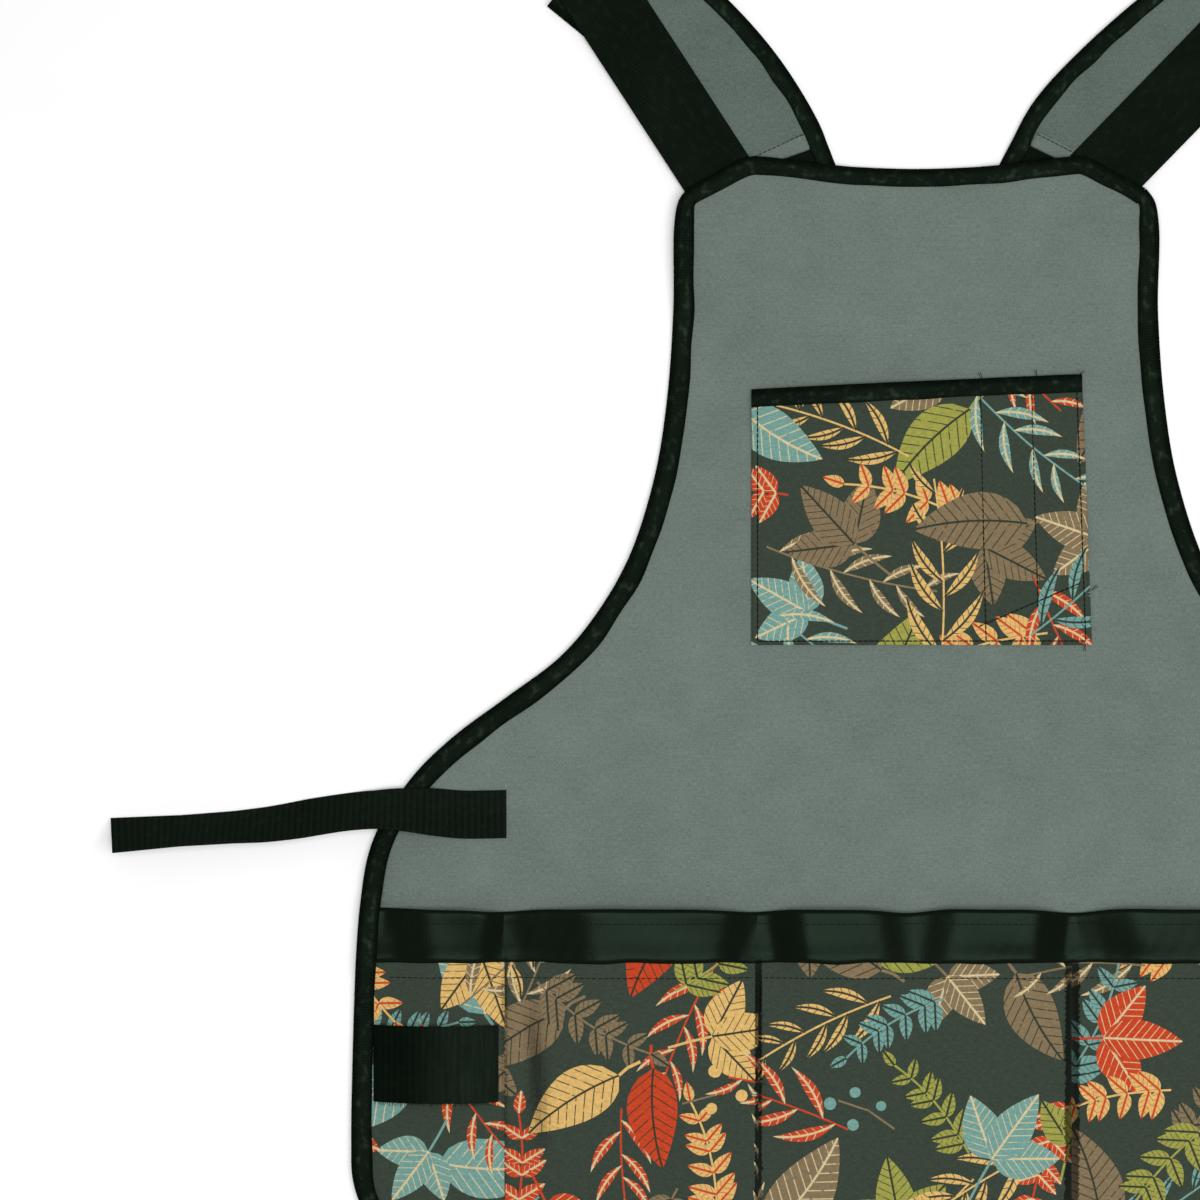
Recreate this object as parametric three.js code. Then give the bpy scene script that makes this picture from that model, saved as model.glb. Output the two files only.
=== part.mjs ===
// Bib work apron lying flat with its front up: canvas panel, folded binding, printed pockets and webbing straps.
// Millimetres. X runs to the right of the apron as it is seen, Y towards the shoulder straps and Z up.
// "down" is the distance from the bib's peaks towards the hem, and the origin lies under the waist.

import * as THREE from "three";

// Driving dimensions
const THICK = { canvas: 1.0, print: 1.0, binding: 1.0, webbing: 1.3, pad: 1.2 };
const GAP = 0.3;
const TAPE = GAP + THICK.binding;
const STEPS_PER_MM = 256;
const ORIGIN_DOWN = 340;
const LIP = { edge: 10, pad: 8, chest: 8, chestBack: 6, band: 26.7, bandBack: 9 };
const HEM = { down: 578, corner: 55, half: 293.8 };
const GRID = { across: 22, along: 32, ring: 12, fade: 22, crowdAcross: 0.5, crowdAlong: 0.25 };
const STRAP = { width: 38, sewnIn: 22, foldSteps: 4, backSteps: 30 };
const PAD = { width: 64, beforeFold: 13, steps: 10, bindingPastHem: 7 };
const WAIST = { width: 25, steps: 18, joint: 338, clear: 13 };
const LOOP = { width: 40, down: 471.5, from: -280.2, to: -217.5, arch: 6.4, steps: 12 };
const TUCK = { side: 4, flat: 277, edge: 287, riseFrom: 44, riseTo: 22 };
const RISE = { frontMargin: 18, frontSlope: 40, backMargin: 20, backSlope: 30, crossMargin: 9, crossSlope: 25 };

// The outer edge of the binding down one side, from the bib's corner to the start of the hem's round corner
const SIDE_ROWS = [
  { down: 17, half: 119.5 },
  { down: 24, half: 123.6 },
  { down: 36, half: 125.8 },
  { down: 80, half: 126.2 },
  { down: 127, half: 129.5 },
  { down: 168, half: 136.2 },
  { down: 210, half: 149.8 },
  { down: 241, half: 168 },
  { down: 262, half: 186.2 },
  { down: 283, half: 214.2 },
  { down: 304, half: 242.3 },
  { down: 325, half: 263.3 },
  { down: 356, half: 282.4 },
  { down: 390, half: 289.2 },
  { down: 491, half: 293.6 },
  { down: HEM.down - HEM.corner, half: HEM.half },
];

// The outer edge of the binding along the bib's top, from its left corner to its right one
const TOP_ROWS = [
  { x: -119.5, down: 17 },
  { x: -93, down: 2.6 },
  { x: -80, down: 0.4 },
  { x: -45, down: 4.8 },
  { x: 0, down: 6.5 },
  { x: 45, down: 4.8 },
  { x: 80, down: 0.4 },
  { x: 93, down: 2.6 },
  { x: 119.5, down: 17 },
];

// Each shoulder strap: where its front run leaves the bib and folds over, and the way its back run takes
const STRAPS = [
  {
    name: "left",
    leaves: { x: -105, down: 7.3 },
    fold: { x: -182, down: -111 },
    padRun: [
      { x: -166.9, down: -99 },
      { x: -120.6, down: -59.3 },
      { x: -96.4, down: -31.6 },
      { x: -79, down: -3.2 },
    ],
    padEnd: { x: -75.7, down: 5.3 },
    behindRun: [
      { x: -58, down: 44 },
      { x: -20, down: 92 },
      { x: 222, down: 332 },
    ],
    inner: 1,
    crossesOver: true,
  },
  {
    name: "right",
    leaves: { x: 109, down: -2.5 },
    fold: { x: 208, down: -104 },
    padRun: [
      { x: 172, down: -85 },
      { x: 136.4, down: -57.5 },
      { x: 107.8, down: -32 },
      { x: 87.5, down: -9.9 },
    ],
    padEnd: { x: 77.6, down: 8.3 },
    behindRun: [
      { x: 58, down: 44 },
      { x: 20, down: 92 },
      { x: -222, down: 332 },
    ],
    inner: -1,
    crossesOver: false,
  },
];

// The five pockets: where each starts and ends, how far its mouth stands off, and the dip in its middle
const POCKETS = [
  { from: -TUCK.flat, to: -214, swell: 6.4, dip: 0, bound: "from" },
  { from: -214, to: -82, swell: 8, dip: 0, bound: "" },
  { from: -82, to: 81, swell: 8.5, dip: 0.4, bound: "" },
  { from: 81, to: 214, swell: 8, dip: 0, bound: "" },
  { from: 214, to: TUCK.flat, swell: 6.4, dip: 0, bound: "to" },
];
const SLITS = [
  { x: -214, half: 2 },
  { x: -82, half: 2 },
  { x: 81, half: 4 },
  { x: 214, half: 2 },
];
const POCKET_SHARES = [0.16, 0.34, 0.5, 0.66, 0.84];

// The pocket cloth from mouth to hem: its height over the canvas, its share of the swell, and a pleat wall's share
const POCKET_ROWS = [
  { down: 392.3, base: 1.9, swell: 1, pleat: 0 },
  { down: 421, base: 1.9, swell: 0.97, pleat: 0 },
  { down: 433, base: 0.7, swell: 0.92, pleat: 0.55 },
  { down: 466, base: 0.5, swell: 0.74, pleat: 0.55 },
  { down: 506, base: 0.5, swell: 0.46, pleat: 0.5 },
  { down: 546, base: 0.5, swell: 0.14, pleat: 0.5 },
  { down: 563, base: 0.5, swell: 0, pleat: 0 },
  { down: 572.5, base: 0.6, swell: 0, pleat: 0 },
];

// The chest pocket's outline, its compartments as shares of its width, and its rows as shares of its height
const CHEST = { left: -85.6, rightTop: 86.3, rightFoot: 91.5, topLeft: 121.4, topRight: 113.4, foot: 254.3 };
const CHEST_CELLS = [
  { from: 0, to: 0.69, swell: 6.6, level: 4.4 },
  { from: 0.69, to: 0.845, swell: 2.2, level: 0 },
  { from: 0.845, to: 1, swell: 2.2, level: 0 },
];
const CHEST_COLUMNS = [0, 0.04, 0.1, 0.2, 0.345, 0.49, 0.59, 0.65, 0.69, 0.73, 0.81, 0.845, 0.885, 0.965, 1];
const CHEST_ROWS = [
  { share: 0, base: 2, swell: 1 },
  { share: 0.075, base: 2, swell: 1 },
  { share: 0.15, base: 0.9, swell: 0.97 },
  { share: 0.4, base: 0.7, swell: 0.8 },
  { share: 0.7, base: 0.7, swell: 0.4 },
  { share: 1, base: 0.7, swell: 0 },
];

// The left waist strap from its sewn end to its free end: its middle line, and how far it tips in degrees
const WAIST_ROWS = [
  { x: -213, down: 342.2, tip: 0 },
  { x: -236, down: 342.4, tip: 2 },
  { x: -251, down: 340.8, tip: 14 },
  { x: -266, down: 339.4, tip: 30 },
  { x: -281, down: 339.4, tip: 41 },
  { x: -298, down: 341.2, tip: 42 },
  { x: -317, down: 344.2, tip: 41 },
  { x: -335, down: 347, tip: 46 },
  { x: -354, down: 348.6, tip: 52 },
  { x: -382, down: 350.5, tip: 54 },
  { x: -417.6, down: 353, tip: 48 },
];

const FINISH = {
  canvas: { color: 0x6a7670, roughness: 0.9, metalness: 0 },
  binding: { color: 0x141c16, roughness: 0.75, metalness: 0 },
  webbing: { color: 0x121a14, roughness: 0.8, metalness: 0 },
  print_cloth: { color: 0x6b4a33, roughness: 0.85, metalness: 0 },
  band: { color: 0x1c261f, roughness: 0.55, metalness: 0 },
};

// Heights of the layers, from the floor up
const PAD_LOW = THICK.webbing + GAP;
const PAD_HIGH = PAD_LOW + THICK.pad;
const FRONT_LOW = PAD_HIGH + TAPE + GAP;
const FRONT_LAYER = FRONT_LOW + THICK.webbing + GAP;
const BACK_LAYER = THICK.webbing + GAP;

const mix = (a, b, t) => a + (b - a) * t;
const place = (x, down, z) => new THREE.Vector3(x, ORIGIN_DOWN - down, z);
const fall = (distance, margin, slope) => 1 - THREE.MathUtils.smoothstep(distance, margin, margin + slope);

// A column of a table, read between its rows
function columnAt(rows, key, value, column) {
  const ordered = rows[0][key] < rows[1][key] ? rows : rows.slice().reverse();
  if (value <= ordered[0][key]) return ordered[0][column];
  for (let i = 0; i + 1 < ordered.length; i += 1) {
    const [a, b] = [ordered[i], ordered[i + 1]];
    if (value <= b[key]) return mix(a[column], b[column], (value - a[key]) / (b[key] - a[key]));
  }
  return ordered[ordered.length - 1][column];
}

// A smooth flat curve through points given as x and down
function curveThrough(points) {
  const corners = points.map((p) => new THREE.Vector3(p.x, p.down, 0));
  return new THREE.CatmullRomCurve3(corners, false, "centripetal");
}

function distanceToLine(x, down, line) {
  let best = Infinity;
  for (let i = 0; i + 1 < line.length; i += 1) {
    const [a, b] = [line[i], line[i + 1]];
    const [dx, dy] = [b.x - a.x, b.y - a.y];
    const along = ((x - a.x) * dx + (down - a.y) * dy) / (dx * dx + dy * dy);
    const t = THREE.MathUtils.clamp(along, 0, 1);
    best = Math.min(best, Math.hypot(x - a.x - dx * t, down - a.y - dy * t));
  }
  return best;
}

// A closed solid from points and triangles, turned so that its faces point out. Its points sit on a fine binary
// grid, so that the triangles that share a corner agree on it exactly.
function closedSolid(corners, triangles) {
  const points = corners.map((p) => p.clone().multiplyScalar(STEPS_PER_MM).round().divideScalar(STEPS_PER_MM));
  const normal = new THREE.Vector3();
  let volume = 0;
  for (const [a, b, c] of triangles) volume += points[a].dot(normal.crossVectors(points[b], points[c]));
  const outward = volume > 0 ? triangles : triangles.map(([a, b, c]) => [a, c, b]);
  const geometry = new THREE.BufferGeometry();
  geometry.setAttribute("position", new THREE.Float32BufferAttribute(points.flatMap((p) => p.toArray()), 3));
  geometry.setIndex(outward.flat());
  geometry.computeVertexNormals();
  return geometry;
}

// A run of like sections joined one to the next, closed at both ends by four-cornered caps. The two broad faces of
// a four-cornered strip are split along the same diagonal, so that it keeps its thickness where it twists.
function sweptSolid(sections, caps) {
  const size = sections[0].length;
  const triangles = [];
  const quad = (a, b, c, d) => triangles.push([a, b, c], [a, c, d]);
  for (let n = 0; n + 1 < sections.length; n += 1) {
    for (let m = 0; m < size; m += 1) {
      const next = (m + 1) % size;
      const corners = [n * size + m, n * size + next, (n + 1) * size + next, (n + 1) * size + m];
      if (size === 4 && m >= 2) corners.push(corners.shift());
      quad(...corners);
    }
  }
  const end = (sections.length - 1) * size;
  for (const [a, b, c, d] of caps) {
    quad(d, c, b, a);
    quad(end + a, end + b, end + c, end + d);
  }
  return closedSolid(sections.flat(), triangles);
}

// A cloth wall over rows of places, each with the height of its underside
function clothSolid(rows, thickness) {
  const [down, across] = [rows.length, rows[0].length];
  const under = rows.flat().map((p) => place(p.x, p.down, p.low));
  const over = rows.flat().map((p) => place(p.x, p.down, p.low + thickness));
  const count = under.length;
  const triangles = [];
  const quad = (a, b, c, d) => triangles.push([b, c, a], [c, d, a]);
  const index = (j, i) => j * across + i;
  for (let j = 0; j + 1 < down; j += 1) {
    for (let i = 0; i + 1 < across; i += 1) {
      const [a, b, c, d] = [index(j, i), index(j + 1, i), index(j + 1, i + 1), index(j, i + 1)];
      quad(count + a, count + b, count + c, count + d);
      quad(d, c, b, a);
    }
  }
  const rim = [];
  for (let j = 0; j + 1 < down; j += 1) rim.push(index(j, 0));
  for (let i = 0; i + 1 < across; i += 1) rim.push(index(down - 1, i));
  for (let j = down - 1; j > 0; j -= 1) rim.push(index(j, across - 1));
  for (let i = across - 1; i > 0; i -= 1) rim.push(index(0, i));
  rim.forEach((a, n) => {
    const b = rim[(n + 1) % rim.length];
    quad(a, b, count + b, count + a);
  });
  return closedSolid([...under, ...over], triangles);
}

// A tape folded over an edge. A station has an edge point, the way in, and the cloth's two faces at a depth.
function foldedTape(stations, front, back) {
  const sections = stations.map((s) => {
    const corner = (depth, z) => place(s.x + s.inX * depth, s.down + s.inDown * depth, z);
    return [
      corner(-TAPE, s.low(0) - TAPE),
      corner(back, s.low(back) - TAPE),
      corner(back, s.low(back) - GAP),
      corner(-GAP, s.low(0) - GAP),
      corner(-GAP, s.high(0) + GAP),
      corner(front, s.high(front) + GAP),
      corner(front, s.high(front) + TAPE),
      corner(-TAPE, s.high(0) + TAPE),
    ];
  });
  const last = sections.length - 1;
  for (const [end, beside] of [[0, 1], [last, last - 1]]) {
    const share = GAP / sections[end][0].distanceTo(sections[beside][0]);
    sections[end] = sections[end].map((p, m) => p.clone().lerp(sections[beside][m], share));
  }
  return sweptSolid(sections, [[0, 1, 2, 3], [0, 3, 4, 7], [4, 5, 6, 7]]);
}

// A flat strip. A station has its middle, the way across to its edge, and the way through its thickness.
function stripSolid(stations, thickness) {
  const sections = stations.map(({ middle, across, through }) => {
    const half = through.clone().multiplyScalar(thickness / 2);
    return [
      middle.clone().sub(across).sub(half),
      middle.clone().add(across).sub(half),
      middle.clone().add(across).add(half),
      middle.clone().sub(across).add(half),
    ];
  });
  return sweptSolid(sections, [[0, 1, 2, 3]]);
}

// The lines that a shoulder strap follows: its straight front run, and its back run under the pad and the bib
function strapLines(strap) {
  const leaves = new THREE.Vector2(strap.leaves.x, strap.leaves.down);
  const fold = new THREE.Vector2(strap.fold.x, strap.fold.down);
  const away = fold.clone().sub(leaves).normalize();
  const sewn = leaves.clone().addScaledVector(away, -STRAP.sewnIn);
  const underPad = curveThrough([strap.fold, ...strap.padRun, strap.padEnd]);
  const back = curveThrough([strap.fold, ...strap.padRun, strap.padEnd, ...strap.behindRun]);
  const padShare = underPad.getLength() / back.getLength();
  const behind = curveThrough([strap.padEnd, ...strap.behindRun]).getSpacedPoints(STRAP.backSteps);
  return { fold, away, sewn, back, padShare, behind };
}
const LINES = new Map(STRAPS.map((strap) => [strap, strapLines(strap)]));

// How far the straps behind the bib lift the canvas
function lift(x, down) {
  let front = 0;
  let back = 0;
  for (const lines of LINES.values()) {
    const toFront = distanceToLine(x, down, [lines.sewn, lines.fold]) - STRAP.width / 2;
    const toBack = distanceToLine(x, down, lines.behind) - STRAP.width / 2;
    front = Math.max(front, FRONT_LAYER * fall(toFront, RISE.frontMargin, RISE.frontSlope));
    back += BACK_LAYER * fall(toBack, RISE.backMargin, RISE.backSlope);
  }
  return Math.max(front, back);
}

// The canvas's edge as one ring of points: down the left, along the hem, up the right and back along the top
function edgeRing() {
  const inset = TAPE;
  const radius = HEM.corner - inset;
  const centre = { x: HEM.half - HEM.corner, down: HEM.down - HEM.corner };
  const corner = TOP_ROWS[TOP_ROWS.length - 1];
  const side = new THREE.Path();
  side.moveTo(corner.x - inset, corner.down + inset);
  side.splineThru(SIDE_ROWS.slice(1).map((row) => new THREE.Vector2(row.half - inset, row.down)));
  side.absarc(centre.x, centre.down, radius, 0, Math.PI / 4, false);
  const hem = new THREE.Path();
  hem.absarc(-centre.x, centre.down, radius, (Math.PI * 3) / 4, Math.PI / 2, true);
  hem.lineTo(centre.x, HEM.down - inset);
  hem.absarc(centre.x, centre.down, radius, Math.PI / 2, Math.PI / 4, true);
  const topPoints = TOP_ROWS.map((row) => ({ x: row.x * (1 - inset / corner.x), down: row.down + inset }));
  const top = curveThrough(topPoints);
  const crowd = (t, amount) => t - (amount * Math.sin(2 * Math.PI * t)) / (2 * Math.PI);
  const spaced = (read, count, amount) =>
    Array.from({ length: count + 1 }, (_, n) => read(crowd(n / count, amount))).map((p) => ({ x: p.x, down: p.y }));
  const right = spaced((t) => side.getPoint(t), GRID.along, GRID.crowdAlong);
  const left = right.map((p) => ({ x: -p.x, down: p.down }));
  const hemPoints = spaced((t) => hem.getPoint(t), GRID.across, GRID.crowdAcross);
  const topLine = spaced((t) => top.getPointAt(t), GRID.across, GRID.crowdAcross);
  const ring = [...left, ...hemPoints.slice(1, -1), ...right.reverse(), ...topLine.slice(1, -1).reverse()];
  return ring.map((p, n) => {
    const before = ring[(n + ring.length - 1) % ring.length];
    const after = ring[(n + 1) % ring.length];
    const [dx, dy] = [after.x - before.x, after.down - before.down];
    const long = Math.hypot(dx, dy);
    return { ...p, inX: dy / long, inDown: -dx / long };
  });
}
const RING = edgeRing();
const RING_LINE = [...RING, RING[0]].map((p) => new THREE.Vector2(p.x, p.down));
const HEM_START = GRID.along;
const TOP_START = 2 * GRID.along + GRID.across;
const inward = (p, depth) => ({ x: p.x + p.inX * depth, down: p.down + p.inDown * depth });

// The underside of the canvas, lifted at its edge by the binding's lower lip
function canvasLow(x, down) {
  const toEdge = distanceToLine(x, down, RING_LINE);
  return lift(x, down) + TAPE * fall(toEdge, GRID.ring, GRID.fade);
}
const canvasHigh = (x, down) => canvasLow(x, down) + THICK.canvas;

function bodyPanel() {
  const { across, along, ring } = GRID;
  const top = (i) => RING[(TOP_START + across - i) % RING.length];
  const hem = (i) => RING[HEM_START + i];
  const left = (j) => RING[j];
  const right = (j) => RING[TOP_START - j];
  const nearest = (n, count) => (n === 1 ? 0 : n === count - 1 ? count : n);
  const within = (side, n, count) => inward(side(nearest(n, count)), ring);
  const blend = (a, b, t) => ({ x: mix(a.x, b.x, t), down: mix(a.down, b.down, t) });
  const inside = (i, j) => {
    const u = (i - 1) / (across - 2);
    const v = (j - 1) / (along - 2);
    const sides = blend(within(left, j, along), within(right, j, along), u);
    const ends = blend(within(top, i, across), within(hem, i, across), v);
    const upper = blend(inward(top(0), ring), inward(top(across), ring), u);
    const lower = blend(inward(hem(0), ring), inward(hem(across), ring), u);
    const flat = blend(upper, lower, v);
    return { x: sides.x + ends.x - flat.x, down: sides.down + ends.down - flat.down };
  };
  const rows = [];
  for (let j = 0; j <= along; j += 1) {
    const row = [];
    for (let i = 0; i <= across; i += 1) {
      let p = null;
      if (j === 0) p = top(i);
      else if (j === along) p = hem(i);
      else if (i === 0) p = left(j);
      else if (i === across) p = right(j);
      else p = inside(i, j);
      row.push({ x: p.x, down: p.down, low: canvasLow(p.x, p.down) });
    }
    rows.push(row);
  }
  return clothSolid(rows, THICK.canvas);
}

// How far the pocket cloth tucked under the binding lifts the binding's upper lip
function pocketUnder(down) {
  const mouth = POCKET_ROWS[0].down;
  const share = (down - mouth + TUCK.riseFrom) / (TUCK.riseFrom - TUCK.riseTo);
  return THREE.MathUtils.clamp(share, 0, 1) * (columnAt(POCKET_ROWS, "down", down, "base") + THICK.print);
}

function edgeStation(p) {
  const inner = inward(p, GRID.ring);
  const [outerLow, innerLow] = [p, inner].map((q) => lift(q.x, q.down) + TAPE);
  const low = (depth) => mix(outerLow, innerLow, Math.max(depth, 0) / GRID.ring);
  return { ...p, low, high: (depth) => low(depth) + THICK.canvas + pocketUnder(p.down) };
}

function edgeBindings() {
  const stations = RING.map(edgeStation);
  const waist = RING.findIndex((p) => p.down >= WAIST.joint);
  const mirrored = TOP_START - waist;
  return {
    binding_top: [...stations.slice(TOP_START), stations[0]].reverse(),
    binding_armhole_left: stations.slice(0, waist + 1),
    binding_skirt: stations.slice(waist, mirrored + 1),
    binding_armhole_right: stations.slice(mirrored, TOP_START + 1),
  };
}

// The half width of the apron at a height, to the binding's outer edge
function outerHalf(down) {
  const past = down - (HEM.down - HEM.corner);
  if (past <= 0) return columnAt(SIDE_ROWS, "down", down, "half");
  return HEM.half - HEM.corner + Math.sqrt(Math.max(HEM.corner ** 2 - past ** 2, 0));
}

// How far the pocket cloth stands off above its base, from its place across the panel
function pocketSwell(x, row) {
  const pocket = POCKETS.find((p) => x >= p.from && x <= p.to);
  const slit = SLITS.find((s) => Math.abs(x - s.x) < s.half - 0.01);
  if (!pocket || slit) return 0;
  const u = (x - pocket.from) / (pocket.to - pocket.from);
  const fromBinding = { from: u, to: 1 - u, "": 1 }[pocket.bound];
  const pleat = row.pleat * THREE.MathUtils.smoothstep(fromBinding, 0, 0.5);
  const dip = 1 - pocket.dip * row.swell ** 3 * Math.exp(-(((u - 0.48) / 0.13) ** 2));
  return pocket.swell * row.swell * dip * mix(Math.sin(Math.PI * u) ** 0.8, 1, pleat);
}

function pocketColumns() {
  const columns = [-TUCK.edge, -TUCK.flat, TUCK.flat, TUCK.edge];
  for (const slit of SLITS) columns.push(slit.x - slit.half, slit.x, slit.x + slit.half);
  for (const pocket of POCKETS) columns.push(...POCKET_SHARES.map((share) => mix(pocket.from, pocket.to, share)));
  return columns.sort((a, b) => a - b);
}

// A place on the pocket cloth: past the outer slits its columns close up towards the round corners of the hem
function pocketPlace(x, row) {
  const last = SLITS[SLITS.length - 1].x;
  const edge = outerHalf(row.down) - TAPE - TUCK.side;
  const past = Math.max(Math.abs(x) - last, 0) * ((edge - last) / (TUCK.edge - last) - 1);
  const at = x + Math.sign(x) * past;
  return { x: at, down: row.down, low: canvasHigh(at, row.down) + row.base + pocketSwell(x, row) };
}

const pocketPanel = () =>
  clothSolid(POCKET_ROWS.map((row) => pocketColumns().map((x) => pocketPlace(x, row))), THICK.print);

function mouthStation(upper, lower, thickness) {
  const low = (depth) => mix(upper.low, lower.low, Math.max(depth, 0) / (lower.down - upper.down));
  return { x: upper.x, down: upper.down, inX: 0, inDown: 1, low, high: (depth) => low(depth) + thickness };
}

function pocketBand() {
  const columns = pocketColumns().filter((x) => Math.abs(x) <= TUCK.flat);
  const stations = columns.map((x) => {
    const [upper, lower] = POCKET_ROWS.slice(0, 2).map((row) => pocketPlace(x, row));
    return mouthStation(upper, lower, THICK.print);
  });
  return foldedTape(stations, LIP.band, LIP.bandBack);
}

// A place on the chest pocket. Its main compartment stands level over the canvas that the crossed straps lift.
function chestPlace(across, row) {
  const right = mix(CHEST.rightTop, CHEST.rightFoot, row.share);
  const x = mix(CHEST.left, right, across);
  const mouth = mix(CHEST.topLeft, CHEST.topRight, across) + TAPE;
  const down = mix(mouth, CHEST.foot, row.share);
  const cell = CHEST_CELLS.find((c) => across <= c.to);
  const u = (across - cell.from) / (cell.to - cell.from);
  const canvas = canvasHigh(x, down);
  const swell = cell.swell + Math.max(cell.level - canvas, 0);
  const share = row.swell * Math.max(Math.sin(Math.PI * u), 0) ** 0.8;
  return { x, down, low: canvas + row.base + share * swell };
}

const chestPocket = () =>
  clothSolid(CHEST_ROWS.map((row) => CHEST_COLUMNS.map((share) => chestPlace(share, row))), THICK.print);

function chestBinding() {
  const stations = CHEST_COLUMNS.map((share) => {
    const [upper, lower] = CHEST_ROWS.slice(0, 2).map((row) => chestPlace(share, row));
    return mouthStation(upper, lower, THICK.print);
  });
  return foldedTape(stations, LIP.chest, LIP.chestBack);
}

// The tool loop arches over the left narrow pocket, from the side binding to the first pleat
function toolLoop() {
  const stations = Array.from({ length: LOOP.steps + 1 }, (_, n) => {
    const t = n / LOOP.steps;
    const x = mix(LOOP.from, LOOP.to, t);
    const heights = [-0.5, 0, 0.5].map((side) => {
      const down = LOOP.down + side * LOOP.width;
      const row = {
        down,
        base: columnAt(POCKET_ROWS, "down", down, "base"),
        swell: columnAt(POCKET_ROWS, "down", down, "swell"),
        pleat: columnAt(POCKET_ROWS, "down", down, "pleat"),
      };
      return pocketPlace(x, row).low;
    });
    const arch = LOOP.arch * Math.max(Math.sin(Math.PI * t), 0) ** 0.6;
    const z = Math.max(...heights) + THICK.print + GAP + arch + THICK.webbing / 2;
    return {
      middle: place(x, LOOP.down, z),
      across: new THREE.Vector3(0, LOOP.width / 2, 0),
      through: new THREE.Vector3(0, 0, 1),
    };
  });
  return stripSolid(stations, THICK.webbing);
}

// The top of what lies under a place at the waist: the binding, the canvas or the floor
function groundAt(x, down) {
  if (Math.abs(x) > outerHalf(down) + TAPE) return 0;
  const toEdge = distanceToLine(x, down, RING_LINE);
  return canvasHigh(x, down) + GAP + (toEdge < LIP.edge + TAPE ? TAPE : 0);
}

// A waist strap tips about its upper edge, which rides over the canvas and the side binding down to the floor
function waistStrap(side) {
  const curve = curveThrough(WAIST_ROWS);
  const half = WAIST.width / 2;
  const stations = Array.from({ length: WAIST.steps + 1 }, (_, n) => {
    const p = curve.getPointAt(n / WAIST.steps);
    const tip = THREE.MathUtils.degToRad(columnAt(WAIST_ROWS, "x", p.x, "tip"));
    let low = 0;
    for (const share of [-1, -0.75, -0.5, -0.25, 0, 0.25, 0.5, 0.75, 1]) {
      for (const along of [-WAIST.clear, 0, WAIST.clear]) {
        const ground = groundAt(-side * (p.x + along), p.y + share * half * Math.cos(tip));
        low = Math.max(low, ground - (share + 1) * half * Math.sin(tip));
      }
    }
    const z = low + half * Math.sin(tip) + (THICK.webbing / 2) * Math.cos(tip);
    return {
      middle: place(-side * p.x, p.y, z),
      across: new THREE.Vector3(0, -half * Math.cos(tip), half * Math.sin(tip)),
      through: new THREE.Vector3(0, Math.sin(tip), Math.cos(tip)),
    };
  });
  return stripSolid(stations, THICK.webbing);
}

// A shoulder strap: its sewn end under the bib's corner, the front run, the fold, and the back run to the waist
function shoulderStrap(strap) {
  const { fold, away, sewn, back } = LINES.get(strap);
  const half = STRAP.width / 2;
  const up = new THREE.Vector3(0, 0, 1);
  const solidWay = (v) => new THREE.Vector3(v.x, -v.y, 0).normalize();
  const frontWay = solidWay(away);
  const backWay = solidWay(back.getTangentAt(0));
  const outWay = frontWay.clone().sub(backWay).normalize();
  const acrossOf = (way) => new THREE.Vector3().crossVectors(way, up);
  const frontMiddle = FRONT_LOW + THICK.webbing / 2;
  const backMiddle = THICK.webbing / 2;
  const radius = (frontMiddle - backMiddle) / 2;
  const stations = [];
  for (const share of [0, 0.25, 0.5, 0.75, 0.93]) {
    const p = sewn.clone().lerp(fold, share);
    const across = acrossOf(frontWay).multiplyScalar(half);
    stations.push({ middle: place(p.x, p.y, frontMiddle), across, through: up.clone() });
  }
  const foldAcross = acrossOf(outWay).multiplyScalar(half / outWay.dot(frontWay));
  for (let n = 0; n <= STRAP.foldSteps; n += 1) {
    const angle = mix(Math.PI / 2, -Math.PI / 2, n / STRAP.foldSteps);
    const through = outWay.clone().multiplyScalar(Math.cos(angle)).addScaledVector(up, Math.sin(angle));
    const middle = place(fold.x, fold.y, backMiddle + radius).addScaledVector(through, radius);
    stations.push({ middle, across: foldAcross.clone(), through });
  }
  for (let n = 1; n <= STRAP.backSteps; n += 1) {
    const share = n / STRAP.backSteps;
    const p = back.getPointAt(share);
    const across = acrossOf(solidWay(back.getTangentAt(share))).multiplyScalar(-half);
    const crossing = STRAPS.filter((other) => strap.crossesOver && other !== strap);
    const raised = crossing.reduce((sum, other) => {
      const distance = distanceToLine(p.x, p.y, LINES.get(other).behind) - half;
      return sum + BACK_LAYER * fall(distance, RISE.crossMargin, RISE.crossSlope);
    }, 0);
    stations.push({ middle: place(p.x, p.y, backMiddle + raised), across, through: up.clone().negate() });
  }
  return stripSolid(stations, THICK.webbing);
}

// Points down a pad's middle, with the way across to its inner edge, from near the fold to past its hem by a length
function padStations(strap, past) {
  const { back, padShare } = LINES.get(strap);
  const long = back.getLength();
  const from = PAD.beforeFold / long;
  const shares = Array.from({ length: PAD.steps + 1 }, (_, n) => mix(from, padShare, n / PAD.steps));
  if (past > 0) shares.push(padShare + past / long);
  return shares.map((share) => {
    const p = back.getPointAt(share);
    const way = back.getTangentAt(share);
    return { x: p.x, down: p.y, acrossX: way.y * strap.inner, acrossDown: -way.x * strap.inner };
  });
}

const padHalf = PAD.width / 2 - TAPE;

function shoulderPad(strap) {
  const stations = padStations(strap, 0).map((s) => ({
    middle: place(s.x, s.down, PAD_LOW + THICK.pad / 2),
    across: new THREE.Vector3(s.acrossX, -s.acrossDown, 0).multiplyScalar(padHalf),
    through: new THREE.Vector3(0, 0, 1),
  }));
  return stripSolid(stations, THICK.pad);
}

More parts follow.
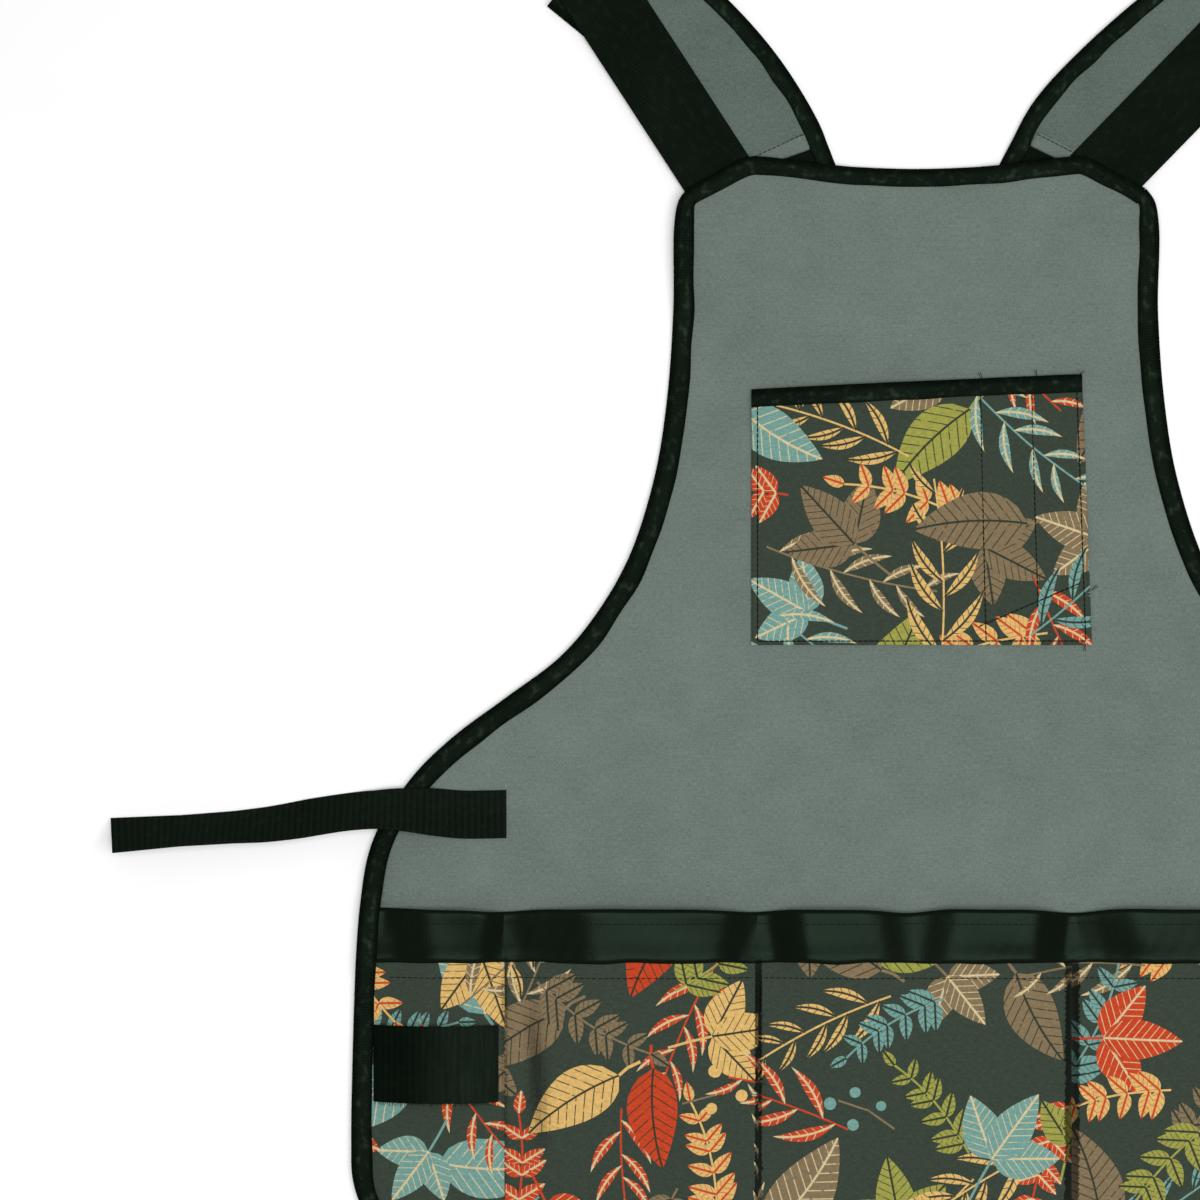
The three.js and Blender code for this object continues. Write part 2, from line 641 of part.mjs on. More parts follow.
function padBinding(strap, side) {
  const past = side > 0 ? PAD.bindingPastHem : 0;
  const stations = padStations(strap, past).map((s) => ({
    x: s.x + side * s.acrossX * padHalf,
    down: s.down + side * s.acrossDown * padHalf,
    inX: -side * s.acrossX,
    inDown: -side * s.acrossDown,
    low: () => PAD_LOW,
    high: () => PAD_HIGH,
  }));
  return foldedTape(stations, LIP.pad, LIP.pad);
}

// Assembly
const apron = new THREE.Group();

function add(name, geometry, finish) {
  const mesh = new THREE.Mesh(geometry, new THREE.MeshStandardMaterial(FINISH[finish]));
  mesh.name = name;
  apron.add(mesh);
}

add("body_panel", bodyPanel(), "canvas");
for (const [name, stations] of Object.entries(edgeBindings())) {
  add(name, foldedTape(stations, LIP.edge, LIP.edge), "binding");
}
add("chest_pocket", chestPocket(), "print_cloth");
add("chest_pocket_binding", chestBinding(), "binding");
add("pocket_panel", pocketPanel(), "print_cloth");
add("pocket_band", pocketBand(), "band");
add("tool_loop", toolLoop(), "webbing");
add("waist_strap_left", waistStrap(-1), "webbing");
add("waist_strap_right", waistStrap(1), "webbing");
for (const strap of STRAPS) {
  add(`strap_${strap.name}`, shoulderStrap(strap), "webbing");
  add(`shoulder_pad_${strap.name}`, shoulderPad(strap), "canvas");
  add(`pad_binding_inner_${strap.name}`, padBinding(strap, 1), "binding");
  add(`pad_binding_outer_${strap.name}`, padBinding(strap, -1), "binding");
}

export default apron;
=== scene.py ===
import math

import bpy
import numpy as np
from mathutils.geometry import delaunay_2d_cdt
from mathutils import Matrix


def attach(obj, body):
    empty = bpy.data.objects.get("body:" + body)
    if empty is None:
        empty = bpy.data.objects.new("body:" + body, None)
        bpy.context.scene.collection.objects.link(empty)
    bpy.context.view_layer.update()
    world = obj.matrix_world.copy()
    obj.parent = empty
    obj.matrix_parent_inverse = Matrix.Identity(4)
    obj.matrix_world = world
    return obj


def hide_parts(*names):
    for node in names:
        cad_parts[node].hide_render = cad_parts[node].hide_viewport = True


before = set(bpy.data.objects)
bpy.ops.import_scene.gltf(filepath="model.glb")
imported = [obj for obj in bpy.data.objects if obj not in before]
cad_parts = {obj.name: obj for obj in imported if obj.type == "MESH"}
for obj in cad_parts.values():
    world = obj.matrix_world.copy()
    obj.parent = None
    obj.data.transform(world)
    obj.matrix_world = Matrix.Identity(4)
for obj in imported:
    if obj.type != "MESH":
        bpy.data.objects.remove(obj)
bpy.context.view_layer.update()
scene = bpy.context.scene
mm = 0.001
up = np.array([0.0, 0, 1])
mirror = (-1, 1)
table = np.column_stack

# sizes are in millimetres, with "down" measured from the bib's peaks towards the hem
panel = {
    "originDown": 340.0, "thick": 1.0, "hemDown": 578.0, "hemHalf": 293.8, "hemCorner": 55.0,
    "inset": 1.3,  # the canvas stops this far inside the binding's outer fold
    "across": 124, "along": 150,  # faces each way
    "sideRows": [  # down, half width
        (24, 123.6), (36, 125.8), (80, 126.2), (127, 129.5), (168, 136.2), (210, 149.8), (241, 168),
        (262, 186.2), (283, 214.2), (304, 242.3), (325, 263.3), (356, 282.4), (390, 289.2), (491, 293.6),
        (523, 293.8),
    ],
    "topRows": [  # x, down
        (-119.5, 17), (-104, 8.7), (-92.5, 2.4), (-86.5, 0.6), (-79, 0.9), (-45, 4.8), (0, 6.5),
        (45, 4.8), (79, 0.9), (86.5, 0.6), (92.5, 2.4), (104, 8.7), (119.5, 17),
    ],
}
tape = {
    "front": 9.3, "frontTop": 8.0, "lip": 10.0, "flat": 23.5,  # lip is its depth on the back
    "under": 0.12, "over": 1.15, "step": 2.2, "joint": 338.0,
    "tucked": 2.2, "tuckedOver": 15.0,  # how much narrower it is at the bib's corners
    "wander": 0.32, "wanderWave": 28, "puckerWave": 7.5,
    "groove": 0.35, "grooveAt": 0.84, "grooveHalf": 0.06, "deepest": 0.7,  # the stitches pull it down
    "seamStep": 3.0, "seamRise": 0.95,
}
webbing = {
    "width": 38.0, "thick": 1.3, "sewnIn": 22.0, "frontLow": 4.4, "step": 3, "behindStep": 12,
    "frontLayer": 6.0, "backLayer": 1.6,  # how far each run lifts what lies on it
    # an ease is how far past an edge the lift holds, and the length it then fades over
    "frontEase": (18, 40), "backEase": (20, 30), "crossEase": (9, 25),
    "aside": 10.0, "asideOver": 42.0,  # how far the back run shifts where the pad ends
    "left": {
        "leaves": (-105, 7.3),
        "fold": (-182, -111),
        "padRun": [(-166.9, -99), (-120.6, -59.3), (-96.4, -31.6), (-79, -3.2), (-75.7, 5.3)],
        "behind": [(-58, 44), (-20, 92), (222, 332)],
        "inner": 1,
    },
    "right": {
        "leaves": (109, -2.5),
        "fold": (208, -104),
        "padRun": [(172, -85), (136.4, -57.5), (107.8, -32), (87.5, -9.9), (77.6, 8.3)],
        "behind": [(58, 44), (20, 92), (-222, 332)],
        "inner": -1,
    },
}


# curves and heights
def mix(a, b, t):
    return a + (b - a) * t


def smooth(value, low, high):
    t = np.clip((value - low) / (high - low), 0, 1)
    return t * t * (3 - 2 * t)


def fall(distance, margin, slope):
    return 1 - smooth(distance, margin, margin + slope)


def hump(distance, half):
    return np.exp(-((distance / half) ** 2))


def unit(v):
    return v / np.linalg.norm(v, axis=-1, keepdims=True)


def paired(x, down):
    return np.broadcast_arrays(np.asarray(x, float), np.asarray(down, float))


# from x, down, z to the frame's axes
def solidOf(line):
    return line * (1, -1, 1) + (0, panel["originDown"], 0)


def place(x, down, z):
    return solidOf(np.stack(np.broadcast_arrays(x, down, z), -1)) * mm


def lengths(line):
    return np.concatenate([[0], np.cumsum(np.linalg.norm(np.diff(line, axis=0), axis=1))])


def pointsAt(line, far):
    along = lengths(line)
    return table([np.interp(far, along, column) for column in line.T])


def spaced(line, step):
    long = lengths(line)[-1]
    return pointsAt(line, np.linspace(0, long, max(int(round(long / step)), 2) + 1))


# the unit way to one side of a line on the flat
def sideWays(line):
    way = unit(np.gradient(line, axis=0))
    return table([way[:, 1], -way[:, 0]])


def smoothLine(points, step):
    p = np.array(points, float)
    p = np.vstack([2 * p[0] - p[1], p, 2 * p[-1] - p[-2]])
    t = np.linspace(0, 1, 40, endpoint=False)[:, None]
    parts = []
    for a, b, c, d in zip(p, p[1:], p[2:], p[3:]):
        before, along, after = (np.linalg.norm(v) ** 0.5 for v in (b - a, c - b, d - c))
        leave = ((b - a) / before - (c - a) / (before + along) + (c - b) / along) * along
        arrive = ((c - b) / along - (d - b) / (along + after) + (d - c) / after) * along
        bend = (3 * (c - b) - 2 * leave - arrive) * t**2 + (2 * (b - c) + leave + arrive) * t**3
        parts.append(b + leave * t + bend)
    return spaced(np.vstack(parts + [p[-2:-1]]), step)


def distanceTo(line, x, down):
    best = np.full(np.shape(x), np.inf)
    for a, b in zip(line[:-1], line[1:]):
        run = b - a
        t = np.clip(((x - a[0]) * run[0] + (down - a[1]) * run[1]) / (run @ run), 0, 1)
        best = np.minimum(best, np.hypot(x - a[0] - run[0] * t, down - a[1] - run[1] * t))
    return best


def ripples(x, y, wave, seed, count=7):
    random = np.random.default_rng(seed)
    total = np.zeros(np.broadcast(x, y).shape)
    for turn, phase, stretch in random.uniform((0, 0, 0.7), (math.pi, 2 * math.pi, 1.5), (count, 3)):
        along = x * math.cos(turn) + y * math.sin(turn)
        total = total + np.sin(along * 2 * math.pi / (wave * stretch) + phase)
    return total / math.sqrt(count)


# a column of a table read smoothly between its rows
def readRows(rows, column, value):
    rows = np.array(rows, float)
    x, y = rows[:, 0], rows[:, column]
    slope = np.gradient(y, x)
    steep = np.diff(y) / np.diff(x)
    slope[1:-1] = np.where(steep[:-1] * steep[1:] <= 0, 0, slope[1:-1])
    value = np.clip(value, x[0], x[-1])
    n = np.clip(np.searchsorted(x, value) - 1, 0, len(x) - 2)
    long = x[n + 1] - x[n]
    t = (value - x[n]) / long
    near = (2 * t**3 - 3 * t**2 + 1) * y[n] + (t**3 - 2 * t**2 + t) * long * slope[n]
    return near + (3 * t**2 - 2 * t**3) * y[n + 1] + (t**3 - t**2) * long * slope[n + 1]


def strapLines(strap):
    leaves, fold = np.array(strap["leaves"], float), np.array(strap["fold"], float)
    away = unit(fold - leaves)
    padRun = [strap["fold"]] + strap["padRun"]
    return {
        "away": away,
        "sewn": leaves - away * webbing["sewnIn"],
        "fold": fold,
        "pad": smoothLine(padRun, webbing["step"]),
        "back": smoothLine(padRun + strap["behind"], webbing["step"]),
        "behind": smoothLine(strap["padRun"][-1:] + strap["behind"], webbing["behindStep"]),
    }


lines = {side: strapLines(webbing[side]) for side in ("left", "right")}


# how far the straps behind the bib lift the canvas
def lift(x, down):
    front = np.zeros(np.shape(x))
    back = np.zeros(np.shape(x))
    half = webbing["width"] / 2
    for line in lines.values():
        toFront = distanceTo(np.array([line["sewn"], line["fold"]]), x, down) - half
        toBack = distanceTo(line["behind"], x, down) - half
        front = np.maximum(front, webbing["frontLayer"] * fall(toFront, *webbing["frontEase"]))
        back = back + webbing["backLayer"] * fall(toBack, *webbing["backEase"])
    return np.maximum(front, back)


def arc(centre, radius, start, end, count=24):
    turn = np.radians(np.linspace(start, end, count))
    return table([centre[0] + radius * np.cos(turn), centre[1] + radius * np.sin(turn)])


# the canvas's edge: its right side, hem and top
def panelEdges():
    inset = panel["inset"]
    centre = (panel["hemHalf"] - panel["hemCorner"], panel["hemDown"] - panel["hemCorner"])
    radius = panel["hemCorner"] - inset
    cornerX, cornerDown = panel["topRows"][-1]
    rows = [(half - inset, down) for down, half in panel["sideRows"]]
    upper = smoothLine([(cornerX - inset, cornerDown + inset)] + rows, 1)
    right = np.vstack([upper, arc(centre, radius, 0, 45)[1:]])
    leftArc = arc((-centre[0], centre[1]), radius, 135, 90)
    hem = np.vstack([leftArc, arc(centre, radius, 90, 45)])
    top = smoothLine([(x * (1 - inset / cornerX), down + inset) for x, down in panel["topRows"]], 1)
    return right, hem, top


sideEdge, hemEdge, topEdge = panelEdges()
leftEdge = sideEdge * mirror
ring = np.vstack([leftEdge[:-1], hemEdge[:-1], sideEdge[::-1][:-1], topEdge[::-1][:-1]])
edgeLine = spaced(np.vstack([ring, ring[:1]]), 7)


def outerHalf(down):
    rows = np.array([panel["topRows"][-1][::-1]] + panel["sideRows"], float)
    corner = panel["hemCorner"]
    past = np.clip(down - (panel["hemDown"] - corner), 0, corner)
    return np.interp(down, rows[:, 0], rows[:, 1]) - corner + np.sqrt(corner**2 - past**2)


folds = {  # a wave is its length and seed
    "broad": 0.5, "broadWave": (130, 3), "broadRise": 1.2,
    "drag": 0.22, "dragWave": (46, 8), "dragSlant": 0.4, "dragStretch": 0.5,
    "calm": (4, 40),  # the edge lies flat
    "pucker": 0.3, "puckerWave": (15, 12), "puckerFrom": (8, 12), "puckerEase": (12, 20),
    "overTape": 1.3, "overTapeEase": (12, 22),  # the back of the binding lifts the edge
}


def canvasLow(x, down):
    x, down = paired(x, down)
    toEdge = distanceTo(edgeLine, x, down)
    calm = smooth(toEdge, *folds["calm"])
    wave = folds["broad"] * (folds["broadRise"] + ripples(x, down, *folds["broadWave"])) * calm
    slanted = x + folds["dragSlant"] * down
    wave = wave + folds["drag"] * ripples(slanted, down * folds["dragStretch"], *folds["dragWave"]) * calm
    pucker = folds["pucker"] * ripples(x, down, *folds["puckerWave"])
    pucker = pucker * smooth(toEdge, *folds["puckerFrom"]) * fall(toEdge, *folds["puckerEase"])
    overTape = folds["overTape"] * fall(toEdge, *folds["overTapeEase"])
    return lift(x, down) + overTape + np.maximum(wave + pucker, 0)


def canvasTop(x, down):
    return canvasLow(x, down) + panel["thick"]


# mesh making
pieces = {}


def meshPiece(name, points, faces, marks=None):
    mesh = bpy.data.meshes.new(name)
    mesh.from_pydata(np.asarray(points).tolist(), [], faces)
    if marks is not None:
        layer = mesh.attributes.new("run", "FLOAT_VECTOR", "POINT")
        layer.data.foreach_set("vector", np.asarray(marks, np.float32).ravel())
    mesh.polygons.foreach_set("use_smooth", [True] * len(mesh.polygons))
    mesh.update()
    piece = bpy.data.objects.new(name, mesh)
    scene.collection.objects.link(piece)
    pieces[name] = piece
    return piece


def gridFaces(rows, columns, around=False):
    wide = columns if around else columns - 1
    j, i = np.meshgrid(np.arange(rows - 1), np.arange(wide), indexing="ij")
    n = (i + 1) % columns
    quads = np.stack([j * columns + i, j * columns + n, (j + 1) * columns + n, (j + 1) * columns + i], -1)
    return quads.reshape(-1, 4)


# a wall under a surface whose faces point up: its copy below, and a rim between
def wallUnder(points, faces, thick):
    count = len(points)
    rim = {}
    for face in faces:
        for a, b in zip(face, face[1:] + face[:1]):
            if (b, a) in rim:
                del rim[(b, a)]
            else:
                rim[(a, b)] = True
    under = [[n + count for n in reversed(face)] for face in faces]
    walls = [[b, a, a + count, b + count] for a, b in rim]
    return np.vstack([points, points - up * thick * mm]), faces + under + walls


def turnedOut(piece):
    bpy.ops.object.select_all(action="DESELECT")
    bpy.context.view_layer.objects.active = piece
    piece.select_set(True)
    bpy.ops.object.mode_set(mode="EDIT")
    bpy.ops.mesh.select_all(action="SELECT")
    bpy.ops.mesh.normals_make_consistent(inside=False)
    bpy.ops.object.mode_set(mode="OBJECT")
    piece.select_set(False)


def sweptPiece(name, sections, marks):
    rows, around = sections.shape[:2]
    faces = gridFaces(rows, around, True).tolist()
    ends = [list(range(around))[::-1], [(rows - 1) * around + n for n in range(around)]]
    turnedOut(meshPiece(name, sections.reshape(-1, 3), faces + ends, marks.reshape(-1, 3)))


def stationsOn(line, step):
    line = spaced(line, step)
    return np.hstack([line, sideWays(line)])


# a tape folded over an edge; each station has x, down and the way in
def tapePiece(name, stations, front, back, lowOf, highOf, pucker, seed):
    x, down, inX, inDown = (column[:, None] for column in stations.T)
    far = lengths(stations[:, :2])[:, None]
    under, over = tape["under"], tape["over"]
    wander = 1 + tape["wander"] / front * ripples(far, 0 * far, tape["wanderWave"], seed + 5)
    frontShares = np.array([0.04, 0.14, 0.26, 0.4, 0.54, 0.68, 0.8, 0.9, 0.97])
    backShares = np.array([1, 0.66, 0.33, 0.08])

    def at(depth):
        return x + inX * depth, down + inDown * depth

    def run(depth, levelOf, rise):
        return place(*at(depth), levelOf(*at(depth)) + rise)

    lowEdge, highEdge = lowOf(x, down), highOf(x, down)
    turn = np.radians([-65, -35, 0, 35, 65])
    level = (lowEdge + highEdge) / 2 + ((highEdge - lowEdge) / 2 + over) * np.sin(turn)
    tip = front * wander
    t = tip * frontShares
    bumps = ripples(far + 0.6 * t, 0.35 * t, tape["puckerWave"], seed) * np.sin(math.pi * frontShares) ** 0.5
    seam = tape["groove"] * hump(frontShares - tape["grooveAt"], tape["grooveHalf"])
    sections = np.concatenate([
        run(back * backShares, lowOf, -over),
        place(*at(-panel["inset"] * np.cos(turn)), level),
        run(t, highOf, over + np.maximum(pucker * bumps - seam, -tape["deepest"])),
        place(*at(tip + 0.15), highOf(*at(tip)) + over * 0.55),
        run(tip * np.array([0.99, 0.5, 0.02]), highOf, under),
        run(back * np.array([0.02, 0.5, 1]), lowOf, -under),
    ], 1)
    front = float(np.max(front))
    hidden = [front, front, front / 2, 0, 0, -back / 2, -back]
    reach = np.concatenate([-back * backShares, -0.5 * np.cos(turn), front * frontShares, hidden])
    sweptPiece(name, sections, np.stack(np.broadcast_arrays(far * mm, reach * mm, 0 * far), -1))


# a flat strip of webbing or padded cloth; middle as x, down, z with unit ways across and through
def stripPiece(name, middle, across, through, width, thick, crown=0.0, ridge=0.12):
    half, rim = width / 2, 0.32 * thick
    shares = np.array([-0.985, -0.94, -0.85, -0.68, -0.45, -0.22, 0, 0.22, 0.45, 0.68, 0.85, 0.94, 0.985])
    rise = 0.5 * thick + crown * (1 - shares**2) + ridge * hump(np.abs(shares) - 0.92, 0.05)
    rise[[0, -1]] = rim
    under = np.array([0.985, 0.85, 0.4, -0.4, -0.85, -0.985])
    sunk = np.full(len(under), -0.5 * thick)
    sunk[[0, -1]] = -rim
    share = np.concatenate([shares, [1.0], under, [-1.0]])
    height = np.concatenate([rise, [0], sunk, [0]])
    solid = solidOf(middle)
    sections = solid[:, None] + across[:, None] * (share * half)[:, None] + through[:, None] * height[:, None]
    far = lengths(solid)[:, None]
    marks = np.stack(np.broadcast_arrays(far * mm, share * half * mm, height * mm), -1)
    sweptPiece(name, sections * mm, marks)


# flat is the width and length as cut; rests, which names what the sheet lies on, is not used
def lay(name, node, slot, material, flat=None, rests=None, **more):
    piece = pieces[name]
    piece.data.materials.append(material)
    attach(piece, "root")
    if node:
        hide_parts(node)
    if flat:
        flat[0] * mm
        flat[1] * mm


# shader maths on sockets
class Wire:
    def __init__(self, tree, socket=None):
        self.tree = tree
        self.socket = socket

    def node(self, kind, settings, inputs, output=0):
        made = self.tree.nodes.new("ShaderNode" + kind)
        for key, value in settings.items():
            setattr(made, key, value)
        for key, value in inputs.items():
            if isinstance(value, Wire):
                self.tree.links.new(value.socket, made.inputs[key])
            else:
                made.inputs[key].default_value = value
        return Wire(self.tree, made.outputs[output])

    def maths(self, operation, *values):
        return self.node("Math", {"operation": operation}, dict(enumerate(values)))

    def __add__(self, other):
        return self.maths("ADD", self, other)

    def __sub__(self, other):
        return self.maths("SUBTRACT", self, other)

    def __rsub__(self, other):
        return self.maths("SUBTRACT", other, self)

    def __mul__(self, other):
        return self.maths("MULTIPLY", self, other)

    def __truediv__(self, other):
        return self.maths("DIVIDE", self, other)

    def __rtruediv__(self, other):
        return self.maths("DIVIDE", other, self)

    __radd__ = __add__
    __rmul__ = __mul__

    def size(self):
        return self.maths("ABSOLUTE", self)

    def between(self, low, high):
        ends = {"Value": self, "From Min": low, "From Max": high}
        return self.node("MapRange", {"interpolation_type": "SMOOTHSTEP"}, ends)

    def noise(self, scale, detail):
        return self.node("TexNoise", {}, {"Vector": self, "Scale": scale, "Detail": detail})

    # noise with its own scale along each axis
    def streaks(self, x, y, detail):
        return self.node("VectorMath", {"operation": "MULTIPLY"}, {0: self, 1: (x, y, 1)}).noise(1.0, detail)

    # the sum of a cloth's two sets of threads
    def weave(self, fine, coarse):
        return self.streaks(fine, coarse, 1.0) + self.streaks(coarse, fine, 1.0)

    def axis(self, n):
        return self.node("SeparateXYZ", {}, {0: self}, n)

    # self is the share of b over a
    def blend(self, a, b):
        return self.node("Mix", {"data_type": "RGBA"}, {0: self, 6: a, 7: b}, 2)

    def bump(self, distance, strength):
        return self.node("Bump", {}, {"Strength": strength, "Distance": distance, "Height": self})

    def ownPlace(self):
        return self.node("TexCoord", {}, {}, 3)

    def attribute(self, name, output):
        return self.node("Attribute", {"attribute_name": name}, {}, output)


def tone(red, green, blue):
    shares = [c / 255 for c in (red, green, blue)]
    return (*(s / 12.92 if s < 0.04 else ((s + 0.055) / 1.055) ** 2.4 for s in shares), 1.0)


# the wire that starts a material's nodes, and what feeds its shader and returns the material
def cloth(name, constants):
    material = bpy.data.materials.new(name)
    material.use_nodes = True
    tree = material.node_tree
    shader = tree.nodes["Principled BSDF"]
    for key, value in constants.items():
        shader.inputs[key].default_value = value

    def finish(*wires):
        for key, wire in zip(("Base Color", "Roughness", "Normal"), wires):
            tree.links.new(wire.socket, shader.inputs[key])
        return material

    return Wire(tree), finish


def makeCanvas(name, dark, light):
    start, finish = cloth(name, {"Specular IOR Level": 0.05})
    at = start.ownPlace()
    grain = at.weave(1900, 420)
    slub = at.streaks(60, 900, 2.0)
    mottle = at.noise(38, 3.0)
    broad = at.noise(5.3, 2.0)
    shade = 0.5 + (grain - 1.0) * 0.9 + (slub - 0.5) * 0.4 + (mottle - 0.5) * 0.5 + (broad - 0.5) * 0.4
    height = grain * 0.6 + slub * 0.3
    return finish(shade.blend(tone(*dark), tone(*light)), 0.78 + mottle * 0.2, height.bump(0.00025, 0.6))


tapeFinishes = {  # dark, light, rib width, shares of ribs, grain and spots (wear spots and painted glints), width of the painted lit middle with painted shade at its folded edges, span of painted sheen along the run
    "blackBinding": ((4, 10, 5), (46, 60, 47), 1.4, 0.06, 0.26, 0.52, 9.3, None),
    "blackWebbing": ((6, 12, 7), (25, 35, 26), 1.7, 0.18, 0.4, 0.3, None, None),
    "ribbedWebbing": ((6, 12, 7), (28, 38, 29), 3.4, 0.22, 0.4, 0.2, None, None),
    "loopWebbing": ((4, 9, 5), (38, 50, 39), 3.4, 0.05, 0.1, 0.06, None, (15, 50)),
}


def makeTape(name, dark, light, ribWide, ribs, grainy, spots, paintedLitMiddle, paintedSheen):
    start, finish = cloth(name, {"Specular IOR Level": 0.008})
    run = start.attribute("run", 1)
    along, across = run.axis(0), run.axis(1)
    ridge = along * (2 * math.pi / (ribWide * mm))
    rib = ridge.maths("SINE", ridge) * 0.5 + 0.5
    grain = run.streaks(1400, 1400, 2.0)
    # the spots are wear on the webbing, and on the binding they are also painted glints of the satin's sheen
    worn = run.streaks(170, 260, 3.0).between(0.5, 0.76)
    cloud = run.streaks(22, 40, 2.0)
    shade = rib * ribs + grain * grainy + worn * spots + (cloud - 0.5) * grainy
    # painted light: the tape's middle across its width is kept lit, and its folded edges are darkened as
    # painted shade
    if paintedLitMiddle:
        side = across.size() * (2 / (paintedLitMiddle * mm)) - 1.0
        shade = shade * (1 - side.size().between(0.3, 0.95) * 0.75)
    # painted sheen: the loop grows lighter along its run, with streaks, where its slope would catch the side
    # light
    if paintedSheen:
        sheenStreaks = run.streaks(420, 50, 2.0).between(0.3, 0.75)
        shade = shade + along.between(paintedSheen[0] * mm, paintedSheen[1] * mm) * (0.2 + sheenStreaks * 0.18)
    height = rib * 0.5 + grain * 0.6
    return finish(shade.blend(tone(*dark), tone(*light)), 0.62 + grain * 0.25, height.bump(0.0003, 0.8))


def makeBand(name, dark, light):
    start, finish = cloth(name, {"Specular IOR Level": 0.048, "Specular Tint": (0.6, 1.0, 0.7, 1)})
    run = start.attribute("run", 1)
    thread = run.streaks(2600, 240, 2.0)
    cloud = run.streaks(28, 60, 3.0)
    shade = thread * 0.6 + cloud * 0.4
    return finish(shade.blend(tone(*dark), tone(*light)), 0.22 + thread * 0.1, thread.bump(0.00012, 0.5))


# the cloth carries each leaf's tones, and the place on the leaf that its veins are drawn by
def makePrint(name):
    start, finish = cloth(name, {"Specular IOR Level": 0.03})
    at = start.ownPlace()
    leaf = start.attribute("leafPlace", 1)
    along, side, gap = leaf.axis(0), leaf.axis(1).size(), leaf.axis(2)
    rib = 1 - side.between(0.0003, 0.0008)
    step = (along - side * 0.75) / gap.maths("MAXIMUM", gap, 0.0005)
    saw = step.maths("FRACT", step) - 0.5
    branch = 1 - saw.size().between(0.02, 0.1)
    broken = at.noise(260, 2.0).between(0.3, 0.45)
    veins = rib.maths("MAXIMUM", rib, branch * broken) * gap.between(0.0005, 0.001)
    colour = veins.blend(start.attribute("leafTint", 0), start.attribute("veinTint", 0))
    grain = at.weave(1700, 380)
    brush = at.streaks(240, 700, 3.0)
    wear = (grain - 1.0) * 0.5 + brush * 0.45
    worn = wear.between(0.0, 0.5).blend((0.8, 0.8, 0.8, 1), (1.14, 1.14, 1.14, 1))
    multiply = {"data_type": "RGBA", "blend_type": "MULTIPLY"}
    colour = start.node("Mix", multiply, {0: 1.0, 6: colour, 7: worn}, 2)
    return finish(colour, 0.66 + brush * 0.2, grain.bump(0.0002, 0.5))


def makeThread(name, dark, light):
    start, finish = cloth(name, {"Specular IOR Level": 0.05})
    twist = start.ownPlace().noise(1500, 2.0)
    return finish(twist.blend(tone(*dark), tone(*light)), 0.5 + twist * 0.3)


canvas = makeCanvas("greyCanvas", (84, 96, 89), (115, 127, 120))
padCanvas = makeCanvas("padCanvas", (72, 85, 78), (104, 117, 110))
binding, strapping, waistWebbing, loopWebbing = (makeTape(name, *kind) for name, kind in tapeFinishes.items())
satin = makeBand("satinBand", (7, 12, 7), (15, 22, 15))
leafPrint = makePrint("leafPrint")
blackThread = makeThread("blackThread", (8, 12, 8), (26, 34, 26))
greyThread = makeThread("greyThread", (44, 54, 48), (64, 76, 69))
print("materials made")


# canvas panel
def makePanel():
    across, along = panel["across"], panel["along"]
    u, v = np.linspace(0, 1, across + 1), np.linspace(0, 1, along + 1)
    left, right = (pointsAt(line, v * lengths(line)[-1])[:, None] for line in (leftEdge, sideEdge))
    top, hem = (pointsAt(line, u * lengths(line)[-1])[None] for line in (topEdge, hemEdge))
    uu, vv = u[None, :, None], v[:, None, None]
    flat = (1 - uu) * left + uu * right + (1 - vv) * top + vv * hem
    corners = (1 - vv) * mix(left[:1], right[:1], uu) + vv * mix(left[-1:], right[-1:], uu)
    flat = (flat - corners).reshape(-1, 2)
    faces = gridFaces(along + 1, across + 1)[:, ::-1].tolist()
    meshPiece("canvasPanel", *wallUnder(place(*flat.T, canvasTop(*flat.T)), faces, panel["thick"]))


makePanel()
lay("canvasPanel", "body_panel", "canvas", canvas, (588, 578), ["strap_left", "strap_right"], area=0.2419)
print("canvas panel made")

